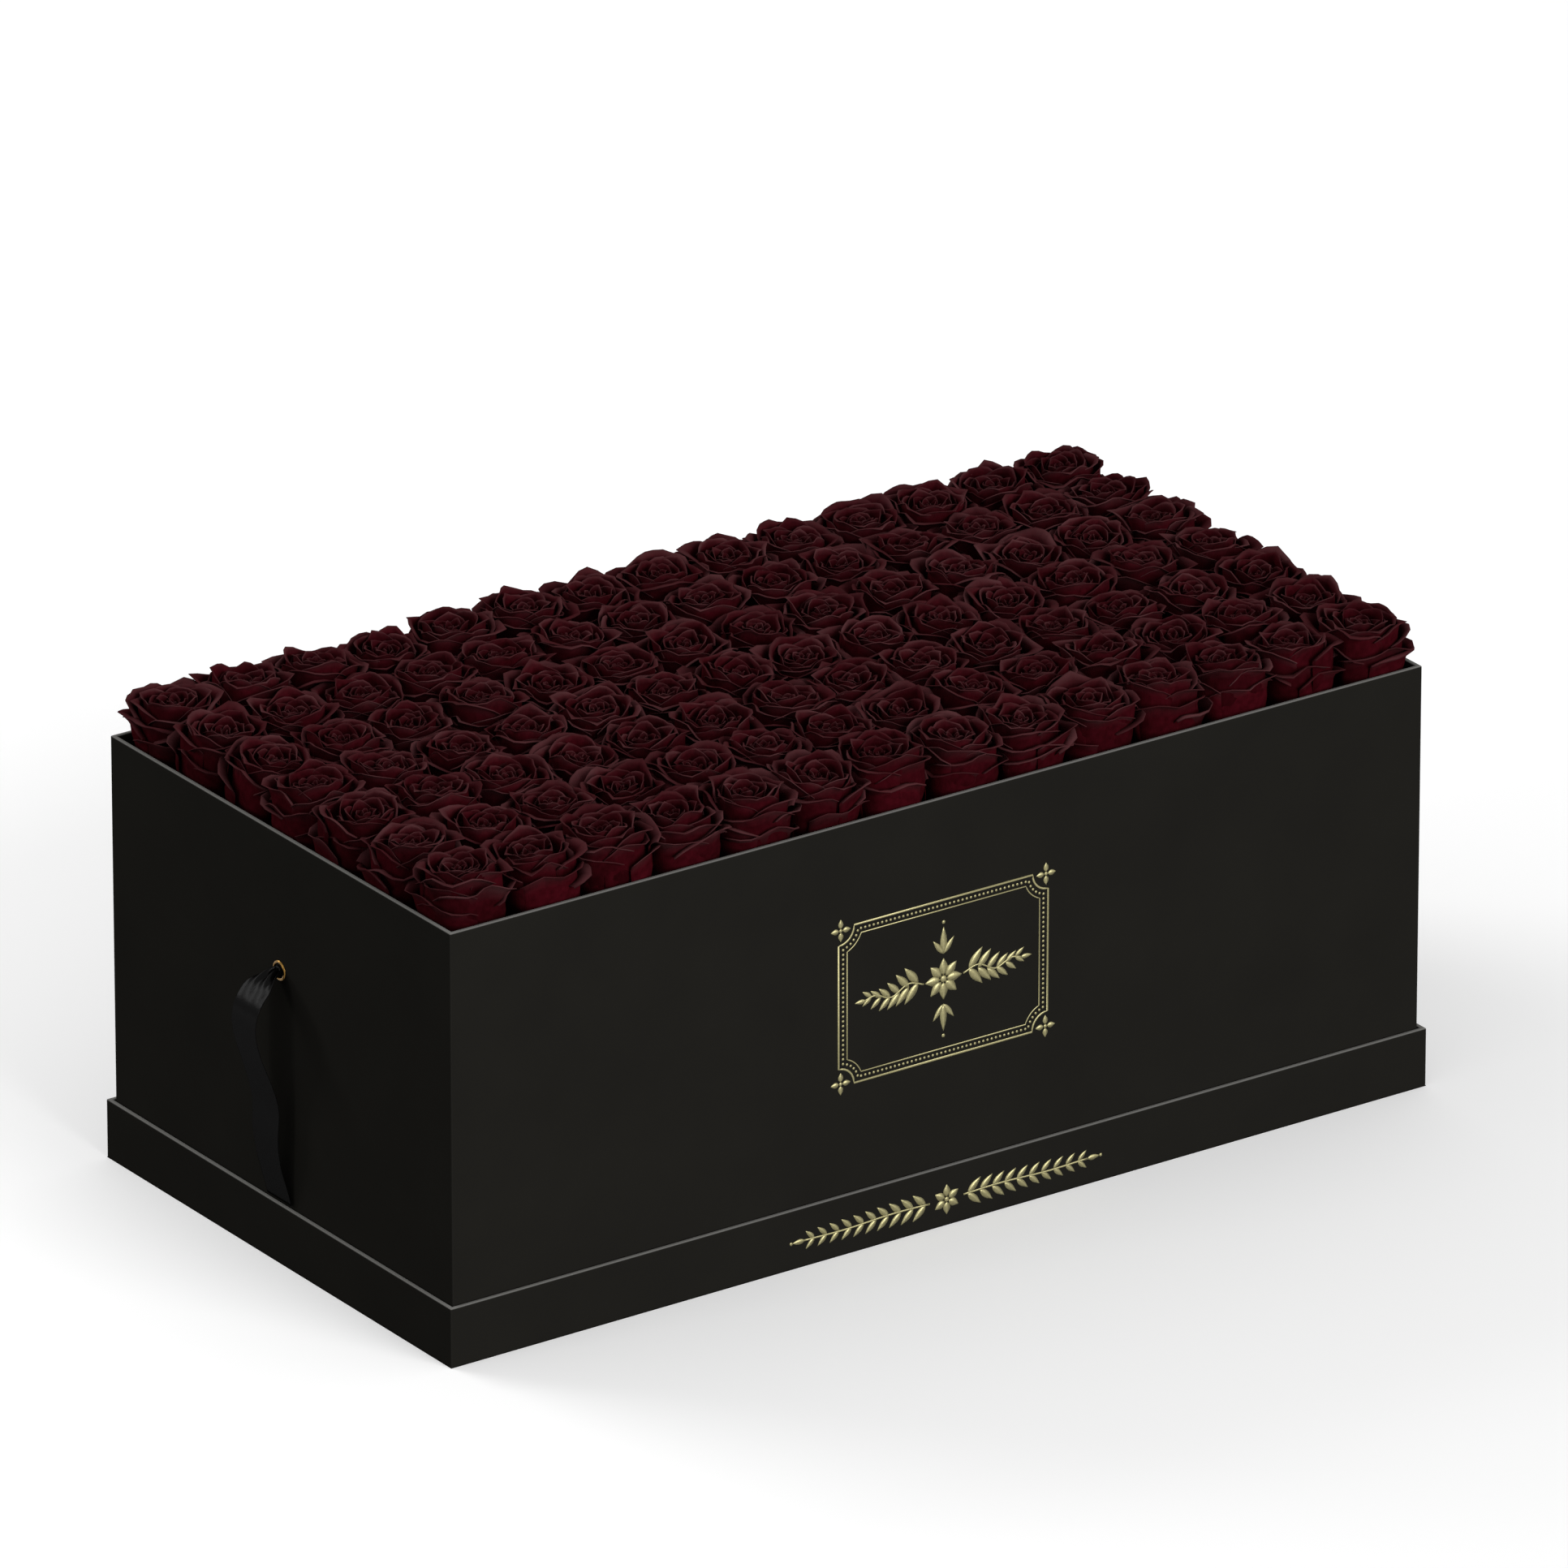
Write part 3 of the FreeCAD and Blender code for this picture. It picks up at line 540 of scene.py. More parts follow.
def paper_skin(name, low, high, body, wrap):
    """The glued wrap of an open board tray: a closed profile (from under the floor up the outside, over the
    rim, down the turn-in and back along the paper's glued face) carried round a rounded rectangle, whose
    corners lose radius inwards as an offset line does, down to a tight fold."""
    floor, rim = low[2], high[2]
    lap = rim - TURN_IN
    foot = [
        (-TURN_UNDER, floor), (-FOOT_HOLD, floor), (-FOOT_FOLD, floor),
        (-FOOT_FOLD / 4, floor + FOOT_FOLD / 4), (0.0, floor + FOOT_FOLD), (0.0, floor + FOOT_HOLD),
    ]
    outer_fold = round_corner(-EDGE_RADIUS, rim - EDGE_RADIUS, 0, 90)
    inner_fold = round_corner(EDGE_RADIUS - RIM, rim - EDGE_RADIUS, 90, 180)
    lining = [(-RIM, rim - RIM_HOLD), (-RIM, lap), (PAPER - RIM, lap), (PAPER - RIM, rim - EDGE_RADIUS)]
    inner_face = [
        (-EDGE_RADIUS, rim - PAPER), (-PAPER, rim - EDGE_RADIUS), (-PAPER, floor + PAPER),
        (-TURN_UNDER, floor + PAPER),
    ]
    profile = np.vstack((foot, [(0.0, rim - RIM_HOLD)], outer_fold, inner_fold, lining, inner_face))
    way, slide, corner, rounds = corner_path()
    offset = profile[:, 0, None, None]
    radius = np.maximum(EDGE_RADIUS + offset, TIGHT_RADIUS)
    centre, half = ((low + high) / 2)[:2], ((high - low) / 2)[:2]
    plan = centre + corner * (half + offset - radius) + radius * way + slide
    heights = np.broadcast_to(profile[:, 1, None, None], plan.shape[:2] + (1,))
    points = np.concatenate((plan, heights), axis=-1)
    index = np.arange(points.shape[0] * points.shape[1]).reshape(points.shape[:2])
    quads = grid_quads(index, wrap_rows=True, wrap_columns=True)
    piece = make_piece(name, points.reshape(-1, 3), quads, PAPER_BLACK)
    # Painted highlight along the rim folds, and faintly round the corners, for the paper material to read
    # as edge.
    rim_share = smoothstep(rim - HIGHLIGHT_REACH, rim - HIGHLIGHT_FULL, profile[:, 1])
    paint(piece, "edge", np.maximum(rim_share[:, None], CORNER_HIGHLIGHT * rounds[None]))
    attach(piece, body)
    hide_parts(wrap)


paper_skin("box_paper_skin", BOX_LOW, BOX_HIGH, "flower_box", "box_wrap")
paper_skin("tray_paper_skin", TRAY_LOW, TRAY_HIGH, "base_tray", "tray_wrap")


# Roses

def petal_bowl(rank, rise, radius, roll, roll_turn, crest):
    """How far out and up a petal's steps are: it leaves the calyx, swells to its ring's radius by the root
    of a quarter-sine, draws in a little above its belly and ends in a lip rolled outwards on an arc."""
    wall = np.clip(rise / ROLL_START, 0, 1)
    base = CALYX_SHARE * radius + CALYX_RADIUS
    swell = np.sin(math.pi / 2 * wall) ** 0.5 + 0.04 * np.sin(math.pi * wall)
    lean_in = 0.05 * smoothstep(0.15, 0.4, rank) * radius * smoothstep(0.5, 1.0, wall)
    curl = roll_turn * np.clip((rise - ROLL_START) / (1 - ROLL_START), 0, 1)
    out = base + (radius - base) * swell - lean_in + roll * (1 - np.cos(curl))
    shoulder = crest - roll * np.sin(np.minimum(roll_turn, math.pi / 2))
    up = shoulder * wall ** 1.08 + roll * np.sin(curl)
    return out, up


def cell_press(x, y, z):
    """Shares by which a rose's neighbours draw its points in towards its axis. The distance from the axis
    is measured in half cells by sixth powers; past the room that there is, it eases off by a hyperbolic
    tangent. The room grows a little with height, where the heads open over each other."""
    aside, ahead = np.abs(x / (PITCH_X / 2)), np.abs(y / (PITCH_Y / 2))
    press = (aside ** CELL_POWER + ahead ** CELL_POWER) ** (1 / CELL_POWER)
    room = CELL_ROOM + CELL_FLARE * smoothstep(*FLARE_HEIGHTS, z)
    over = np.maximum(press - room, 0)
    eased = room + CELL_GIVE * np.tanh(over / CELL_GIVE)
    return np.where(over > 0, eased / np.maximum(press, 1e-6), 1.0)


def petal_row(seed):
    """Mid-surfaces of one row of roses as arrays of rose, petal, step up, step across and xyz, and for each
    of their points how pale its lip is (the edge's own faded colour and a painted sheen), its height share
    (for the painted shade low in the folds), its petal's tone and its place on the flat petal.

    A petal is a strip of a bowl. Rank runs from 0, the outermost petal, to 1, the heart, and sets radius,
    lip height, roll and width; each petal stands a golden turn round from the last. Lips are drawn to a
    point, as straight lines from the tip to either side, ruffled by slow sine waves and crimped by quick
    ones, and one side of each petal laps over the next. The outer petals stand on a circle squared by
    fourth powers. A rose leans a little and is pressed into its cell."""
    chance = np.random.default_rng(seed)
    one = (ROSE_COLUMNS, 1, 1, 1)
    each = (ROSE_COLUMNS, PETALS, 1, 1)
    rank = np.linspace(0, 1, PETALS).reshape(1, -1, 1, 1)
    outer = 1 - rank
    rise = (1 - (1 - np.linspace(0, 1, PETAL_ALONG)) ** LIP_CROWDING).reshape(1, 1, -1, 1)
    span = np.linspace(-1, 1, PETAL_ACROSS).reshape(1, 1, 1, -1)

    # How the petals stand round the heart
    spin = np.where(chance.random(one) < 0.5, -1.0, 1.0)
    yaw = chance.uniform(0, 2 * math.pi, one)
    stand = spin * GOLDEN_TURN * np.arange(PETALS).reshape(1, -1, 1, 1) + yaw
    stand = stand + chance.uniform(-STAND_SPREAD, STAND_SPREAD, each)
    half_angle = np.interp(rank, PETAL_RANKS, PETAL_HALF_ANGLES) * chance.uniform(0.9, 1.1, each)
    turn = span * np.radians(half_angle)

    # Sizes, each varied by chance
    size = chance.uniform(0.96, 1.05, one)
    radius = np.interp(rank, PETAL_RANKS, PETAL_RADII) * size * chance.uniform(0.95, 1.05, each)
    openness = chance.uniform(0.75, 1.25, one)
    roll = np.interp(rank, PETAL_RANKS, PETAL_ROLLS) * openness * chance.uniform(0.6, 1.4, each)
    roll_turn = np.radians(ROLL_TURN + OUTER_ROLL_TURN * outer ** 1.5) * chance.uniform(0.75, 1.25, each)
    crest = np.interp(rank, PETAL_RANKS, PETAL_CRESTS) * chance.uniform(0.97, 1.03, one)
    crest = crest + chance.uniform(*CREST_SPREAD, each) * (1 - 0.7 * rank)
    crest = crest * (1 - LIP_FALL * np.abs(span) ** 2.4)

    out, up = petal_bowl(rank, rise, radius, roll, roll_turn, crest)

    # The pointed lip
    straight = math.cos(TIP_CORNER) / np.cos(TIP_CORNER - np.minimum(np.abs(turn), TIP_CORNER))
    pointed = chance.uniform(0.4, 0.95, each) * smoothstep(0.3, 1.0, rise)
    out = out * (1 + pointed * (straight - TIP_MEAN))
    tip = np.exp(-(turn / TIP_WIDTH) ** 2) * smoothstep(0.8, 1.0, rise)
    out = out + tip * chance.uniform(0.0, TIP_REACH, each) * (1.1 - rank)
    up = up - tip * chance.uniform(*TIP_DROOP, each)

    # Ruffles, crimps and the lap over the next petal
    ruffle = (RUFFLE[0] + RUFFLE[1] * outer ** 1.5) * smoothstep(0.55, 1.0, rise)
    phase = chance.uniform(0, 2 * math.pi, (3, *each))
    out = out + ruffle * np.sin(4.2 * span * chance.uniform(0.7, 1.5, each) + phase[0])
    up = up + 0.9 * ruffle * np.sin(3.6 * span * chance.uniform(0.7, 1.5, each) + phase[1])
    crimp = smoothstep(0.7, 1.0, rise) * (CRIMP[0] + CRIMP[1] * outer)
    out = out + crimp * np.sin(9 * span + phase[2]) * np.cos(3.1 * span + phase[0])
    up = up + 0.8 * crimp * np.sin(7 * span + phase[1])
    out = out + spin * span * (LAP[0] + LAP[1] * outer) * smoothstep(0.1, 0.6, rise)

    # Round the heart, leaning and pressed into the cell
    angle = stand + turn
    squared = (np.cos(angle) ** 4 + np.sin(angle) ** 4) ** -0.25
    out = out * (1 + outer * (squared - 1))
    x = out * np.cos(angle)
    y = out * np.sin(angle)
    lean = chance.uniform(-LEAN_MOST, LEAN_MOST, (2, *one))
    above = up - LEAN_HEIGHT
    x, y, z = x + lean[0] * above, y + lean[1] * above, up - lean[0] * x - lean[1] * y
    keep = cell_press(x, y, z)
    shape = np.broadcast_shapes(x.shape, y.shape, z.shape)
    middle = np.stack([np.broadcast_to(a, shape) for a in (x * keep, y * keep, z)], axis=-1)

    # What the material reads
    # Lip paleness: partly the petal edges' own faded colour, partly a painted sheen.
    dry_and_sheen = chance.uniform(0.35, 1.0, each) * (0.8 + 0.2 * np.sin(5 * span + phase[2]))
    lips = np.broadcast_to(dry_and_sheen * smoothstep(0.62, 1.0, rise) ** 1.4, shape)
    # Painted shade: the height share that the material darkens low down, as the shade in the folds.
    heights = np.broadcast_to(smoothstep(*SHADE_HEIGHTS, z), shape)
    tones = np.broadcast_to(chance.uniform(0, 1, each) * (1 - 0.8 * rank), shape)
    # The flat petals of a rose are set apart lengthwise, so that no two show the same veins
    flat = np.stack(np.broadcast_arrays(turn * (radius + 4), rise * PETAL_LENGTH + 7 * stand), axis=-1)
    return middle, lips, heights, tones, flat


def both_sides(values):
    """Values of the mid-surface points, once for each side of the petals made from them."""
    return np.stack((values, values), axis=2)


def rose_row(number):
    """One row of roses along the box, set on the foam at the row's places."""
    middle, lips, heights, tones, flat = petal_row(seed=ROSE_SEED + number)
    columns = BOX_LOW[0] + RIM + PITCH_X * (np.arange(ROSE_COLUMNS) + 0.5)
    line = BOX_LOW[1] + RIM + PITCH_Y * (number - 0.5)
    places = np.stack(np.broadcast_arrays(columns, line, FOAM_TOP), axis=-1)
    middle = middle + places.reshape(ROSE_COLUMNS, 1, 1, 1, 3)
    points, quads = shell(middle, PETAL_THICKNESS)
    piece = make_piece(f"rose_heads_{number}", points, quads, PETAL)
    for attribute, values in (("lip", lips), ("height", heights), ("tone", tones)):
        paint(piece, attribute, both_sides(values))
    lay_pattern(piece, "petal", both_sides(flat).reshape(-1, 2))
    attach(piece, "flower_box")
    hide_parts(f"rose_row_{number}")


for row_number in range(1, ROSE_ROWS + 1):
    rose_row(row_number)


# Eyelets and ribbons

def eyelet_ring(side_name, outward):
    """A pressed eyelet: its profile (a half-round flange outside, the bore, a rolled lip inside and the
    barrel's back) is turned once round the eyelet's axis."""
    face = outward * BOX_HIGH[0]
    proud = BOX_LOW[0] - EYELET_LOW[0]
    inside = proud - (EYELET_HIGH[0] - EYELET_LOW[0])
    flange = EYELET_HIGH[1] - FLANGE_TRIM
    middle, half = (flange + EYELET_BORE) / 2, (flange - EYELET_BORE) / 2
    barrel = EYELET_BORE + EYELET_WALL
    dome = np.linspace(0, math.pi, DOME_STEPS)
    lip = np.linspace(math.pi, 2 * math.pi, LIP_STEPS)
    lip_out = EYELET_BORE + EYELET_LIP + EYELET_LIP * np.cos(lip)
    lip_depth = inside + EYELET_WALL + EYELET_WALL * np.sin(lip)
    profile = np.vstack((
        np.stack((middle + half * np.cos(dome), proud * np.sin(dome)), axis=-1),
        np.stack((lip_out, lip_depth), axis=-1),
        [(barrel, inside + 2 * EYELET_WALL), (barrel, 0.0)],
    ))
    angle = np.linspace(0, 2 * math.pi, ROUND_STEPS, endpoint=False)
    x = np.broadcast_to(face + outward * profile[:, 1, None], (len(profile), len(angle)))
    y = profile[:, 0, None] * np.cos(angle)
    z = EYELET_HEIGHT + profile[:, 0, None] * np.sin(angle)
    index = np.arange(x.size).reshape(x.shape)
    quads = grid_quads(index, wrap_rows=True, wrap_columns=True)
    quads = quads if outward > 0 else quads[:, ::-1]
    points = np.stack((x, y, z), axis=-1).reshape(-1, 3)
    piece = make_piece(f"eyelet_ring_{side_name}", points, quads, BRASS)
    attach(piece, "flower_box")
    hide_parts(f"eyelet_{side_name}")


def ribbon_tail(side_name, outward):
    """A hanging satin ribbon: a strip carried down its route. At the eyelet its width is laid in pleats,
    a cosine whose depth keeps each leg its full length, and they fade as the strip spreads below. Sine
    creases ripple the top of the bow, and the hang sways sideways and twists a little by slower sines."""
    route, travel = smooth_curve(RIBBON_ROUTE, RIBBON_STEPS)
    tangent = np.gradient(route, axis=0)
    tangent /= np.linalg.norm(tangent, axis=1, keepdims=True)
    normal = np.stack((-tangent[:, 1], tangent[:, 0]), axis=-1)
    open_share = smoothstep(*RIBBON_SPREAD, travel)
    spread = RIBBON_NECK + (RIBBON_WIDTH - RIBBON_NECK) * open_share
    leg = RIBBON_WIDTH / RIBBON_FOLDS
    depth = np.sqrt(np.maximum(leg**2 - (spread / RIBBON_FOLDS) ** 2, 0.0))
    depth *= 1 - smoothstep(*PLEAT_FADE, travel)
    u = np.linspace(0, 1, RIBBON_ACROSS)
    pleat = -np.cos(RIBBON_FOLDS * math.pi * u) / 2
    rippled = CREASE_DEPTH * np.exp(-(((travel - CREASE_MIDDLE) / CREASE_RUN) ** 2))
    crease = rippled[:, None] * np.sin(CREASE_WAVES * u + CREASE_SLANT * travel[:, None])
    sway = np.sin(math.pi * smoothstep(SWAY_START, travel[-1], travel)) * np.sin(travel / SWAY_RUN)
    across = spread[:, None] * (u - 0.5)
    lift = depth[:, None] * pleat + crease + SWAY_TWIST * sway[:, None] * across
    reach = route[:, 0, None] + normal[:, 0, None] * lift
    drop = route[:, 1, None] + normal[:, 1, None] * lift
    x = outward * (BOX_HIGH[0] + reach)
    middle = np.stack((x, across + SWAY_ASIDE * sway[:, None], EYELET_HEIGHT - drop), axis=-1)
    points, quads = shell(middle if outward < 0 else middle[:, ::-1], RIBBON_THICKNESS)
    piece = make_piece(f"ribbon_tail_{side_name}", points, quads, SATIN)
    flat = np.stack(np.broadcast_arrays(RIBBON_WIDTH * u, travel[:, None]), axis=-1)
    lay_pattern(piece, "ribbon", np.concatenate((flat.reshape(-1, 2), flat.reshape(-1, 2))))
    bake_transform(piece)
    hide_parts(f"ribbon_{side_name}")


def ribbon_stop(side_name, outward):
    """The stop knot behind the wall: a ball pulled in at its ends, creased by slanting waves where the
    ribbon wraps round itself, running out into the gathered neck that fills the eyelet."""
    radius = KNOT_HIGH[1]
    ball = KNOT_HIGH[0] - radius
    length = np.linspace(0, 1, KNOT_STEPS)[:, None]
    angle = np.linspace(0, 2 * math.pi, ROUND_STEPS, endpoint=False)[None]
    mouth = -BOX_HIGH[0] - KNOT_MOUTH
    x = KNOT_HIGH[0] + (mouth - KNOT_HIGH[0]) * length
    share = np.clip((x - ball) / radius, -1, 1)
    round_part = radius * np.sqrt(np.maximum(1 - share**2, 0.0))
    neck = KNOT_NECK * smoothstep(0.0, 0.06, length)
    girth = np.maximum(round_part, neck)
    crease = 1 + KNOT_CREASE * np.sin(5 * angle + 9 * length) * smoothstep(0.02, 0.2, length)
    girth = np.maximum(girth * crease * KNOT_FIT, KNOT_POLE)
    y = girth * np.cos(angle)
    z = EYELET_HEIGHT + girth * np.sin(angle)
    x = np.broadcast_to(-outward * x, y.shape)
    points = np.stack((x, y, z), axis=-1)
    index = np.arange(y.size).reshape(y.shape)
    ends = zip_ring(index[0])[:, ::-1], zip_ring(index[-1])
    quads = np.vstack((grid_quads(index, wrap_columns=True), *ends))
    quads = quads[:, ::-1] if outward < 0 else quads
    piece = make_piece(f"ribbon_stop_{side_name}", points.reshape(-1, 3), quads, SATIN)
    flat = np.stack(np.broadcast_arrays(KNOT_PATTERN[0] * angle, KNOT_PATTERN[1] * length), axis=-1)
    lay_pattern(piece, "ribbon", flat.reshape(-1, 2))
    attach(piece, "flower_box")
    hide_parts(f"ribbon_knot_{side_name}")


for side, way_out in (("left", -1), ("right", 1)):
    eyelet_ring(side, way_out)
    ribbon_tail(side, way_out)
    ribbon_stop(side, way_out)


# Gilt print

# Sizes of the foil itself; rises are shares of a leaf's half-width and of a bead's size
PRINT_PROUD = 0.12
PRINT_THICKNESS = 0.1
LEAF_STEPS = 7
LEAF_POINT = 0.06
LEAF_RISE = 0.1
LEAF_SLIMNESS = 0.36
BEAD_GRID = 5
BEAD_RISE = 0.12
STEM_STEPS = 25
STEM_HEIGHTS = (0.0, 0.15, 0.0)
RULE_OFFSETS = (-0.5, -0.3, 0.3, 0.5, 0.5, -0.5)
RULE_HEIGHTS = (0.1, 0.3, 0.3, 0.1, 0.02, 0.02)
FLORET_EYE = 0.18
FLORET_BEAD = 0.34

# The panel on the box front, from its middle
PANEL_CENTRE = (0.0, 155.7)
PANEL_SIZE = (149.0, 100.0)
PANEL_NOTCH = 11.0
NOTCH_STEPS = 9
PANEL_RULES = ((0.0, 1.3), (6.0, 0.8))
PANEL_BEAD_INSET = 3.2
PANEL_BEAD_SPACING = 3.0
PANEL_BEAD_SIZE = 1.7
CORNER_FLORET_INSET = 1.5
SPRIG_SPINE = ((14.0, 0.0), (25.0, 3.0), (37.0, -2.5), (48.0, 1.5), (56.0, 0.0))
SPRIG_PAIRS = 6
SPRIG_TIP = (55.0, 8.0, 3.0)
TREFOIL_FOOT = 16.0
TREFOIL_FAN = np.array((-38.0, 0.0, 38.0))
TREFOIL_LENGTHS = (12.0, 17.0, 12.0)
TREFOIL_WIDTHS = (3.6, 4.8, 3.6)
TREFOIL_BEAD = 36.0

# The band on the tray front, from its middle
BAND_CENTRE = (0.0, 16.6)
BAND_SPINE = ((12.0, 0.0), (40.0, 0.6), (72.0, -0.6), (102.0, 0.0))
BAND_PAIRS = 10
BAND_TILT = 42.0
BAND_TIP = (101.0, 9.0, 3.4)
BAND_BEAD = 110.8


def merge(parts):
    """Several (points, quads) pairs as one, with the later quads' indices moved on."""
    starts = np.cumsum([0] + [len(points) for points, _ in parts[:-1]])
    quads = [quads + start for (_, quads), start in zip(parts, starts)]
    return np.vstack([points for points, _ in parts]), np.vstack(quads)


def leaves(bases, headings, lengths, widths):
    """Leaf-shaped foil, one for each base point: along its heading in degrees its half-width swells and
    closes as a sine of its length to the power 0.8, and its mid-rib stands proud of its edges."""
    bases = np.asarray(bases, float).reshape(-1, 1, 1, 2)
    heading, length, width = (
        np.broadcast_to(np.asarray(values, float), len(bases)).reshape(-1, 1, 1)
        for values in (np.radians(headings), lengths, widths))
    along = np.linspace(0, 1, LEAF_STEPS).reshape(1, -1, 1)
    across = np.linspace(-1, 1, 3).reshape(1, 1, -1)
    half = width / 2 * np.maximum(np.sin(math.pi * along**0.8), LEAF_POINT)
    go, off = along * length, across * half
    x = bases[..., 0] + go * np.cos(heading) - off * np.sin(heading)
    z = bases[..., 1] + go * np.sin(heading) + off * np.cos(heading)
    proud = PRINT_PROUD + LEAF_RISE * half * (1 - across**2)
    return shell(np.stack((x, proud, z), axis=-1), PRINT_THICKNESS)


def beads(places, size):
    """Round foil beads: a square grid pressed into a disc, domed as one minus radius squared."""
    places = np.asarray(places, float).reshape(-1, 1, 1, 2)
    line = np.linspace(-1, 1, BEAD_GRID)
    a, b = np.meshgrid(line, line)
    x, z = a * np.sqrt(1 - b**2 / 2), b * np.sqrt(1 - a**2 / 2)
    dome = PRINT_PROUD + BEAD_RISE * size * (1 - x**2 - z**2)
    x = places[..., 0] + size / 2 * x
    z = places[..., 1] + size / 2 * z
    return shell(np.stack((x, np.broadcast_to(dome, x.shape), z), axis=-1), PRINT_THICKNESS)


def rule(path, width):
    """A flat foil line round a closed path: a low bevelled profile carried along it."""
    path = np.asarray(path, float)
    run = np.roll(path, -1, axis=0) - np.roll(path, 1, axis=0)
    run /= np.linalg.norm(run, axis=1, keepdims=True)
    side = np.stack((run[:, 1], -run[:, 0]), axis=-1)
    offsets = width * np.array(RULE_OFFSETS)
    plan = path[None] + offsets[:, None, None] * side[None]
    proud = np.broadcast_to(np.array(RULE_HEIGHTS)[:, None], plan.shape[:2])
    points = np.stack((plan[..., 0], proud, plan[..., 1]), axis=-1)
    index = np.arange(proud.size).reshape(proud.shape)
    return points.reshape(-1, 3), grid_quads(index, wrap_rows=True, wrap_columns=True)


def stem(points, width):
    """A foil stem: a narrow strip, raised along its middle, on an easy curve through points."""
    line, _ = smooth_curve(np.asarray(points, float), STEM_STEPS)
    run = np.gradient(line, axis=0)
    run /= np.linalg.norm(run, axis=1, keepdims=True)
    across = np.linspace(-0.5, 0.5, 3) * width
    x = line[:, 0, None] - run[:, 1, None] * across
    z = line[:, 1, None] + run[:, 0, None] * across
    proud = np.broadcast_to(PRINT_PROUD + np.array(STEM_HEIGHTS), x.shape)
    return shell(np.stack((x, proud, z), axis=-1), PRINT_THICKNESS)


def ticket(inset):
    """The panel's outline, anticlockwise: a rectangle whose corners are cut by quarter rounds about the
    full corner points, drawn in by inset on every side."""
    half_x, half_z = PANEL_SIZE[0] / 2, PANEL_SIZE[1] / 2
    radius = PANEL_NOTCH + inset
    start = math.asin(inset / radius)
    turn = np.linspace(math.pi / 2 - start, start, NOTCH_STEPS)
    arc = np.stack((radius * np.cos(turn), radius * np.sin(turn)), axis=-1)
    quarters = [
        np.array((half_x, half_z)) - arc, np.array((-half_x, half_z)) + arc[::-1] * (1, -1),
        np.array((-half_x, -half_z)) + arc, np.array((half_x, -half_z)) + arc[::-1] * (-1, 1)]
    return np.vstack(quarters)


def even_places(path, spacing):
    """Points at even steps of about spacing along the straight pieces of a closed path."""
    loop = np.vstack((path, path[:1]))
    travel = np.concatenate(([0], np.cumsum(np.linalg.norm(np.diff(loop, axis=0), axis=1))))
    steps = np.linspace(0, travel[-1], round(travel[-1] / spacing), endpoint=False)
    return np.stack([np.interp(steps, travel, axis) for axis in loop.T], axis=-1)


def floret(place, petals, reach, width):
    """Leaves set evenly round a point, with a bead at their middle."""
    turn = 360.0 / petals
    headings = turn * np.arange(petals) + 90
    bases = np.array(place) + FLORET_EYE * reach * np.stack(
        (np.cos(np.radians(headings)), np.sin(np.radians(headings))), axis=-1)
    lengths = (1 - FLORET_EYE) * reach
    return [leaves(bases, headings, lengths, width), beads([place], FLORET_BEAD * reach)]


def sprig(way, spine, width, places, lengths, tilts, tip):
    """A leafy stem to the right, or with way -1 to the left: pairs of leaves at places along the spine,
    tilted up and down from it by degrees, and one leaf at the tip (its place, length and width)."""
    mirror = np.array((way, 1.0))
    straight_on = 0.0 if way > 0 else 180.0
    parts = [stem(np.array(spine) * mirror, width)]
    for rise in (-1, 1):
        headings = straight_on + way * rise * tilts
        parts.append(leaves(places * mirror, headings, lengths, LEAF_SLIMNESS * lengths))
    tip_place, tip_length, tip_width = tip
    parts.append(leaves([(way * tip_place, 0.0)], straight_on, tip_length, tip_width))
    return parts


def press_foil(name, parts, centre, face, body):
    """Foil parts, drawn flat about a centre, laid on the front face of a body. The front looks along minus
    Y, so the height drawn is taken off the face, and the quads are turned round to look outward again."""
    points, quads = merge(parts)
    placed = np.stack((centre[0] + points[:, 0], face - points[:, 1], centre[1] + points[:, 2]), axis=-1)
    piece = make_piece(name, placed, quads[:, ::-1], FOIL)
    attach(piece, body)


def panel_print():
    """The panel on the box front: a double rule with cut corners and a row of beads between, a floret in
    each corner, and a flower with a leafy sprig to either side and a trefoil above and below."""
    half_x, half_z = PANEL_SIZE[0] / 2, PANEL_SIZE[1] / 2
    parts = [rule(ticket(inset), width) for inset, width in PANEL_RULES]
    parts.append(beads(even_places(ticket(PANEL_BEAD_INSET), PANEL_BEAD_SPACING), PANEL_BEAD_SIZE))
    corner_x, corner_z = half_x - CORNER_FLORET_INSET, half_z - CORNER_FLORET_INSET
    for sx, sz in ((1, 1), (-1, 1), (-1, -1), (1, -1)):
        parts += floret((sx * corner_x, sz * corner_z), petals=4, reach=7.0, width=3.6)
    parts += floret((0.0, 0.0), petals=8, reach=13.0, width=6.0)
    pair = np.arange(SPRIG_PAIRS)
    places = np.stack((18 + 6.6 * pair, 2.0 * np.cos(1.1 * pair)), axis=-1)
    lengths = 15.0 - 1.4 * pair
    for way in (-1, 1):
        parts += sprig(way, SPRIG_SPINE, 1.1, places, lengths, 50 - 3 * pair, SPRIG_TIP)
    for sz in (-1, 1):
        foot = [(0.0, sz * TREFOIL_FOOT)] * 3
        parts.append(leaves(foot, 90.0 * sz + TREFOIL_FAN, TREFOIL_LENGTHS, TREFOIL_WIDTHS))
        parts.append(beads([(0.0, sz * TREFOIL_BEAD)], 2.4))
    press_foil("front_panel_foil", parts, PANEL_CENTRE, BOX_LOW[1], "flower_box")


